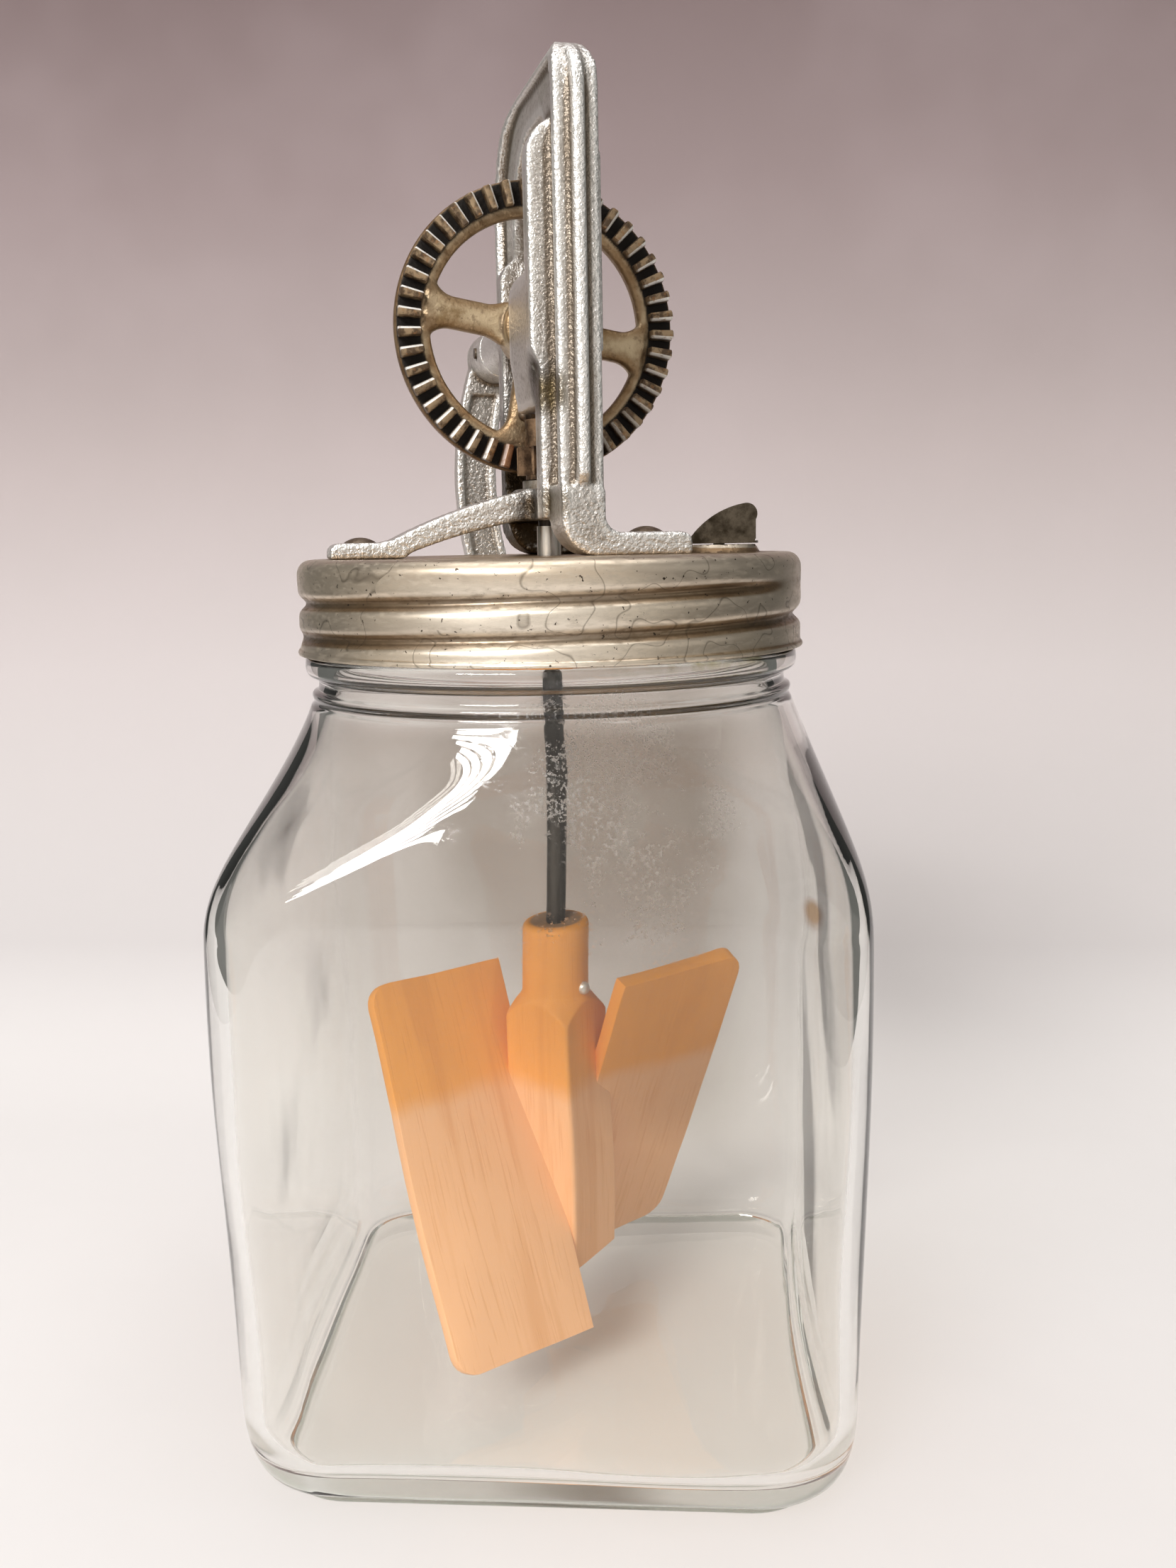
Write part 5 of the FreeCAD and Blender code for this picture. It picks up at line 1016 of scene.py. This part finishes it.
class CHURN_OT_jar(bpy.types.Operator):
    """Make the jar's glass"""
    bl_idname = "churn.jar"
    bl_label = "Jar"

    def execute(self, context):
        shapes, finishes = context.scene.churn_shapes, context.scene.churn_finishes
        jar = piece_from("jar_pressed_glass", *jar_shape(shapes.glass_waves / MM), crease=60.0)
        fit(jar, "jar_body", "jar", jar_glass(tuple(finishes.glass_tint)), "jar")
        return {"FINISHED"}


class CHURN_OT_lid(bpy.types.Operator):
    """Make the lid of tinned sheet with its formed thread and vent boss"""
    bl_idname = "churn.lid"
    bl_label = "Lid"

    def execute(self, context):
        lid = piece_from("lid_tinned_sheet", *lid_shape(context.scene.churn_shapes.lid_dents / MM))
        mark_relief(lid, 0.7, 60)
        x, y = VENT_SPOT
        inwards = 1.0 - VENT_HOLE_OFF / math.hypot(x, y)
        cut_holes(lid, [(0.0, 0.0, SHAFT_HOLE), (x * inwards, y * inwards, VENT_HOLE)])
        fit(lid, "lid_body", "screw_lid", tinned_sheet(), "screw_lid")
        return {"FINISHED"}


class CHURN_OT_frame(bpy.types.Operator):
    """Make the gear frame's casting with melted edges"""
    bl_idname = "churn.frame"
    bl_label = "Gear Frame"

    def execute(self, context):
        shapes, finishes = context.scene.churn_shapes, context.scene.churn_finishes
        casting = melted(copy_of("frame", "frame_silver_casting"), shapes.frame_cell / MM, 9)
        self.round_top(casting)
        mark_relief(casting, 0.6, 26)
        paint = cast_silver("frame_silver_paint", tuple(finishes.silver_paint), tuple(finishes.frame_grime_and_shade))
        fit(casting, "lid_body", "frame", paint, "frame")
        return {"FINISHED"}

    def round_top(self, casting):
        """Dome the top across its width: half width times sqrt(1 - s^2), s being the share of the rise.
        Also keep where the casting is painted dark: grease round the foot of the long rib, and painted shade
        with some grease under the bar and on the rear pillar's foot; and where the front block is smudged,
        at its step and its bend."""
        local = turned(mesh_arrays(casting.data)[0] / MM, -MECHANISM_YAW)
        rise = np.clip((local[:, 2] - DOME_FOOT) / DOME_RISE, 0.0, 1.0)
        local[:, 0] *= np.sqrt(1.0 - rise * rise)
        casting.data.vertices.foreach_set("co", (turned(local, MECHANISM_YAW) * MM).ravel())
        casting.data.update()
        aside, across, up = np.abs(local[:, 0]), local[:, 1], local[:, 2]
        rib_foot = smooth_fall(np.hypot(across + 20.0, (up - 268.0) * 0.8), 3.0, 8.0)
        # painted shade with some grease: the rear pillar's foot and the underside of the bar, which lie in
        # shadow
        rear = smooth_step(across, 2.0, 9.0) * smooth_fall(up, 252.0, 285.0)
        bar = smooth_fall(np.abs(across), 10.0, 16.0) * smooth_fall(up, 240.0, 250.0)
        bar = bar * smooth_fall(aside, 7.0, 13.0)
        store(casting, "grease_and_shade", np.maximum(np.maximum(rib_foot * 0.8, rear), bar * 0.8))
        step = smooth_fall(np.abs(up - 265.0), 1.5, 7.0)
        bend = smooth_fall(np.abs(up - 239.5), 1.5, 6.0)
        front = smooth_fall(across, -24.0, -18.0) * smooth_fall(local[:, 0], -4.5, -2.5)
        store(casting, "smudge", np.maximum(step * 0.85, bend * 0.65) * front)


class CHURN_OT_wheel(bpy.types.Operator):
    """Make the drive wheel's casting and its teeth"""
    bl_idname = "churn.wheel"
    bl_label = "Drive Wheel"

    def execute(self, context):
        points, quads, triangles = wheel_casting_shape()
        wheel = piece_from("wheel_gold_casting", along_axle(points), quads, triangles)
        melted(wheel, context.scene.churn_shapes.wheel_cell / MM, 4)
        mark_relief(wheel, 0.8, 30)
        local = turned(mesh_arrays(wheel.data)[0] / MM, -MECHANISM_YAW)
        reach = np.hypot(local[:, 0], local[:, 2] - AXLE_HEIGHT)
        # painted shade with grease: near black on the rim's face between the teeth
        gap_grease_and_shade = smooth_fall(local[:, 1], 9.1, 9.7) * smooth_step(reach, 29.9, 30.5)
        store(wheel, "gap_grease_and_shade", gap_grease_and_shade * smooth_fall(reach, 36.3, 36.8))
        near = self.rust_near_pinion(abreast(local[:, 0], AXLE_HEIGHT - local[:, 2]))
        ring = 0.5 * smooth_step(reach, 25.5, 27.5) + 0.4 * smooth_step(reach, 36.0, 36.9)
        store(wheel, "rust", np.maximum(near, ring))
        fit(wheel, "wheel_body", "drive_wheel", gear_gold(), "drive_wheel")
        (points, quads, triangles), bright, low = wheel_teeth_shape()
        teeth = piece_from("wheel_teeth", along_axle(points), quads, triangles)
        store(teeth, "bright", bright)
        store(teeth, "low", low)
        store(teeth, "rust", self.rust_near_pinion(points))
        fit(teeth, "wheel_body", "drive_wheel", tooth_metal())
        return {"FINISHED"}

    def rust_near_pinion(self, points):
        """Share of rust: full at the bottom of the rim, where the pinion meets it, and gone 17 mm away."""
        return smooth_fall(np.hypot(points[:, 0], points[:, 1] - 34.0), 7.0, 17.0)


class CHURN_OT_crank(bpy.types.Operator):
    """Make the crank's casting and the turned knob"""
    bl_idname = "churn.crank"
    bl_label = "Crank"

    def execute(self, context):
        finishes = context.scene.churn_finishes
        arm = melted(copy_of("crank_arm", "crank_silver_casting"), 0.5, 3)
        mark_relief(arm, 0.7, 30)
        paint = cast_silver("crank_silver_paint", tuple(finishes.silver_paint), tuple(finishes.frame_grime_and_shade))
        fit(arm, "wheel_body", "crank_arm", paint, "crank_arm")
        profile = softened([(3.08, 73.6), (6.6, 73.4), (8.0, 74.2), (9.4, 77.0), (11.6, 82.0), (12.8, 88.0),
                            (13.0, 93.0), (12.2, 98.5), (10.2, 102.8), (8.0, 104.8), (6.4, 105.2),
                            (3.08, 105.1), (3.08, 73.6)], 2)[:-1]
        points, quads, triangles = lathe(profile, 72, looped=True)
        knob = piece_from("crank_turned_knob", along_axle(points, AXLE_HEIGHT - 72.0), quads, triangles)
        store(knob, "board", points * MM)
        fit(knob, "knob_body", "crank_knob", knob_wood(), "crank_knob")
        return {"FINISHED"}


class CHURN_OT_dasher(bpy.types.Operator):
    """Make the dasher's wooden hub, its boards and its pin"""
    bl_idname = "churn.dasher"
    bl_label = "Dasher"

    def execute(self, context):
        finishes = context.scene.churn_finishes
        wood = dasher_wood(tuple(finishes.wood_upper), tuple(finishes.wood_lower))
        for side, (yaw, grain_shift) in BOARDS.items():
            shape, place = board_shape(yaw)
            board = piece_from("dasher_board_" + side, *shape)
            store(board, "board", place + (0.0, grain_shift, 0.0))
            fit(board, "dasher_body", "dasher_blade_" + side, wood, "dasher_blade_" + side)
        shape, place = hub_shape()
        hub = piece_from("dasher_wooden_hub", *shape, crease=50.0)
        store(hub, "board", place)
        fit(hub, "dasher_body", "dasher_hub", wood, "dasher_hub")
        head = quarter((0.3, 9.3), 1.5, 0.0, 90.0, 7)
        profile = np.concatenate([[(0.0, -10.8)], (head * (1.0, -1.0))[::-1], head, [(0.0, 10.8)]])
        points, quads, triangles = lathe(profile, 32)
        laid = turned(abreast(points[:, 2], points[:, 0], points[:, 1] + PIN_HEIGHT), DASHER_YAW)
        pin = piece_from("dasher_domed_pin", laid, quads, triangles)
        bright = plain_steel("dasher_pin_bright", (0.9, 0.89, 0.86), (0.6, 0.57, 0.52), 0.3, metallic=0.6)
        fit(pin, "dasher_body", "dasher_pin", bright, "dasher_pin")
        return {"FINISHED"}


class CHURN_OT_fittings(bpy.types.Operator):
    """Finish the nodes that keep their shape: shaft, tube, pins, washers, rivets, pinion, vent, gasket"""
    bl_idname = "churn.fittings"
    bl_label = "Small Fittings"

    def execute(self, context):
        finishes = {
            ("shaft_tube",): plain_steel("tube_satin", (0.68, 0.66, 0.62), (0.4, 0.36, 0.3), 0.28, 0.2),
            ("dasher_shaft",): plain_steel(
                "shaft_dark_steel", (0.11, 0.1, 0.09), (0.025, 0.02, 0.016), 0.4, 0.12),
            ("wheel_axle", "knob_spindle"): plain_steel(
                "axle_steel", (0.5, 0.47, 0.42), (0.24, 0.2, 0.15), 0.32),
            ("axle_washer", "knob_washer", "thrust_washer"): plain_steel(
                "washer_steel", (0.42, 0.38, 0.33), (0.16, 0.12, 0.08), 0.4),
            ("wheel_pin", "crank_pin", "pinion_pin"): plain_steel(
                "pin_dark_steel", (0.34, 0.3, 0.25), (0.1, 0.07, 0.045), 0.42),
            ("frame_rivets", "vent_rivet", "spoke_screw"): plain_steel(
                "rivet_brown_steel", (0.3, 0.24, 0.18), (0.1, 0.065, 0.04), 0.42),
            ("pinion",): plain_steel(
                "pinion_brown_iron", (0.3, 0.19, 0.11), (0.06, 0.035, 0.02), 0.5, metallic=0.75),
            ("vent_cover",): plain_steel(
                "vent_dark_sheet", (0.14, 0.115, 0.085), (0.035, 0.026, 0.016), 0.34),
            ("lid_gasket",): gasket_board(),
        }
        for nodes, material in finishes.items():
            for node in nodes:
                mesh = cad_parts[node].data
                mesh.materials.clear()
                mesh.materials.append(material)
        return {"FINISHED"}


class CHURN_OT_stage(bpy.types.Operator):
    """Make the camera, the paper sweep and the soft lamps"""
    bl_idname = "churn.stage"
    bl_label = "Stage"

    def execute(self, context):
        stage = context.scene.churn_stage
        self.make_camera(context, stage)
        self.make_sweep()
        for slat, wide in enumerate(SLAT_WIDTHS):
            self.make_lamp("key_slat", stage.key_power / len(SLAT_WIDTHS), (wide, SLAT_HEIGHT),
                           (-0.63, -1.26, 0.93 + SLAT_STEP * slat), (0.0, 0.0, 0.17))
        self.make_lamp("fill_panel", stage.fill_power, (1.6, 1.4), (1.9, -0.7, 1.1), (0.0, 0.0, 0.15))
        self.make_lamp("top_panel", stage.top_power, (2.0, 1.4), (0.0, 0.1, 2.3), (0.0, 0.25, 0.0))
        self.light_room(context, stage.room_level)
        context.scene.view_settings.view_transform = "Standard"
        return {"FINISHED"}

    def light_room(self, context, room_level):
        """A dim room all round, brighter and warmer on the camera's side: a smooth step of the view
        direction's dot product with the bright side's direction."""
        world = bpy.data.worlds.new("room") if context.scene.world is None else context.scene.world
        context.scene.world = world
        world.use_nodes = True
        room = world.node_tree
        towards = room.nodes.new("ShaderNodeTexCoord").outputs["Generated"]
        front = add(room, "VectorMath", {"operation": "DOT_PRODUCT"}, i0=towards, i1=(-0.25, -0.95, 0.18))
        side = ramp(room, front.outputs["Value"], -0.1, 0.9)
        level = spread(room, side, 0.7 * room_level, 3.0 * room_level)
        tone = blend_colour(room, side, (0.88, 0.88, 0.82), (0.95, 0.9, 0.84))
        room.links.new(tone, room.nodes["Background"].inputs["Color"])
        room.links.new(level, room.nodes["Background"].inputs["Strength"])

    def make_camera(self, context, stage):
        """The photograph's viewpoint: yaw, pitch and roll of the view, as a right, up and back matrix."""
        yaw, pitch, roll = CAMERA_ANGLES
        ahead = Vector((math.sin(yaw) * math.cos(pitch), math.cos(yaw) * math.cos(pitch), -math.sin(pitch)))
        level = Vector((math.cos(yaw), -math.sin(yaw), 0.0))
        upright = level.cross(ahead)
        right = level * math.cos(roll) + upright * math.sin(roll)
        up = upright * math.cos(roll) - level * math.sin(roll)
        lens = bpy.data.cameras.new("photo_camera")
        lens.lens = stage.lens
        lens.sensor_width = 36.0
        lens.clip_start = 0.01
        camera = bpy.data.objects.new("photo_camera", lens)
        turn = Matrix((right, up, -ahead)).transposed().to_4x4()
        camera.matrix_world = Matrix.Translation(CAMERA_PLACE) @ turn
        context.scene.collection.objects.link(camera)
        context.scene.camera = camera

    def make_sweep(self):
        """Paper sweep: a level floor, a quarter circle and a wall, carried across X."""
        arc = np.radians(np.linspace(0.0, 90.0, 24))
        line = np.concatenate([
            abreast(np.linspace(-3000.0, 150.0, 20), 0.0),
            abreast(160.0 + 330.0 * np.sin(arc), 330.0 - 330.0 * np.cos(arc)),
            abreast(490.0, np.linspace(360.0, 3000.0, 20))])
        grid = abreast(np.linspace(-450.0, 430.0, 30)[None, :], line[:, :1], line[:, 1:])
        rows, columns = grid.shape[:2]
        here = np.arange(rows - 1)[:, None] * columns + np.arange(columns - 1)
        quads = abreast(here, here + 1, here + columns + 1, here + columns).reshape(-1, 4)
        mesh = bpy.data.meshes.new("paper_sweep")
        mesh.from_pydata((grid.reshape(-1, 3) * MM).tolist(), [], quads.tolist())
        mesh.shade_smooth()
        sweep = bpy.data.objects.new("paper_sweep", mesh)
        bpy.context.scene.collection.objects.link(sweep)
        sweep.data.materials.append(self.paper())

    def paper(self):
        """Plain pale paper: near white on the floor, greyer and warmer up the wall, where the darkening is
        painted shade, with faint creases. Its rear is clear, so that the object shows from behind too."""
        material, tree, place = new_finish("paper_backdrop", Roughness=0.9, Specular_IOR_Level=0.1)
        height = add(tree, "SeparateXYZ", Vector=place).outputs["Z"]
        # painted shade: the ramp darkens the paper from the floor up the wall
        fade = tree.nodes.new("ShaderNodeValToRGB")
        stops = fade.color_ramp.elements
        stops[0].color = (*PAPER_TONE_AND_SHADE[0][1], 1.0)
        stops[1].color = (*PAPER_TONE_AND_SHADE[-1][1], 1.0)
        for spot, shade in PAPER_TONE_AND_SHADE[1:-1]:
            stops.new(spot).color = (*shade, 1.0)
        tree.links.new(times(tree, height, 1.0 / PAPER_TOP), fade.inputs[0])
        clouds = stains(tree, place, 5.5, 0.35, 0.7, 3.0)
        above = ramp(tree, height, 0.01, 0.2, 0.0, 0.1)
        patchy = coat(tree, fade.outputs[0], clouds, above, (0.62, 0.53, 0.55))
        rear = tree.nodes.new("ShaderNodeNewGeometry").outputs["Backfacing"]
        clear = add(tree, "BsdfTransparent", Color=(1.0, 1.0, 1.0, 1.0)).outputs[0]
        surface = blend_shader(tree, rear, tree.nodes["Principled BSDF"].outputs[0], clear)
        tree.links.new(surface, tree.nodes["Material Output"].inputs["Surface"])
        return finished(material, patchy, noise(tree, place, 9.0, 3.0), 0.12, 0.01)

    def make_lamp(self, name, power, size, where, towards):
        """A rectangular area lamp that faces a point."""
        light = bpy.data.lights.new(name, "AREA")
        light.shape = "RECTANGLE"
        light.size, light.size_y = size
        light.energy = power
        lamp = bpy.data.objects.new(name, light)
        aim = (Vector(towards) - Vector(where)).to_track_quat("-Z", "Y")
        lamp.matrix_world = Matrix.Translation(where) @ aim.to_matrix().to_4x4()
        bpy.context.scene.collection.objects.link(lamp)


STEPS = (CHURN_OT_stage, CHURN_OT_jar, CHURN_OT_lid, CHURN_OT_frame, CHURN_OT_wheel, CHURN_OT_crank,
         CHURN_OT_dasher, CHURN_OT_fittings)


class CHURN_PT_panel(bpy.types.Panel):
    """Settings and steps of the butter churn"""
    bl_idname = "CHURN_PT_panel"
    bl_label = "Butter Churn"
    bl_space_type = "VIEW_3D"
    bl_region_type = "UI"
    bl_category = "Churn"

    def draw(self, context):
        column = self.layout.column()
        for group in (context.scene.churn_shapes, context.scene.churn_finishes, context.scene.churn_stage):
            for name in group.__annotations__:
                column.prop(group, name)
        for step in STEPS:
            column.operator(step.bl_idname)


CLASSES = (ChurnShapes, ChurnFinishes, ChurnStage, *STEPS, CHURN_PT_panel)


def register():
    """Add the classes and the scene's settings."""
    for each in CLASSES:
        bpy.utils.register_class(each)
    bpy.types.Scene.churn_shapes = PointerProperty(type=ChurnShapes)
    bpy.types.Scene.churn_finishes = PointerProperty(type=ChurnFinishes)
    bpy.types.Scene.churn_stage = PointerProperty(type=ChurnStage)


def unregister():
    """Take the settings and the classes away again."""
    del bpy.types.Scene.churn_shapes, bpy.types.Scene.churn_finishes, bpy.types.Scene.churn_stage
    for each in reversed(CLASSES):
        bpy.utils.unregister_class(each)


def main():
    """Build everything in order."""
    register()
    for step in STEPS:
        group, name = step.bl_idname.split(".")
        if getattr(getattr(bpy.ops, group), name)() != {"FINISHED"}:
            raise RuntimeError(step.bl_label + " wasn't finished")


if __name__ == "__main__":
    main()
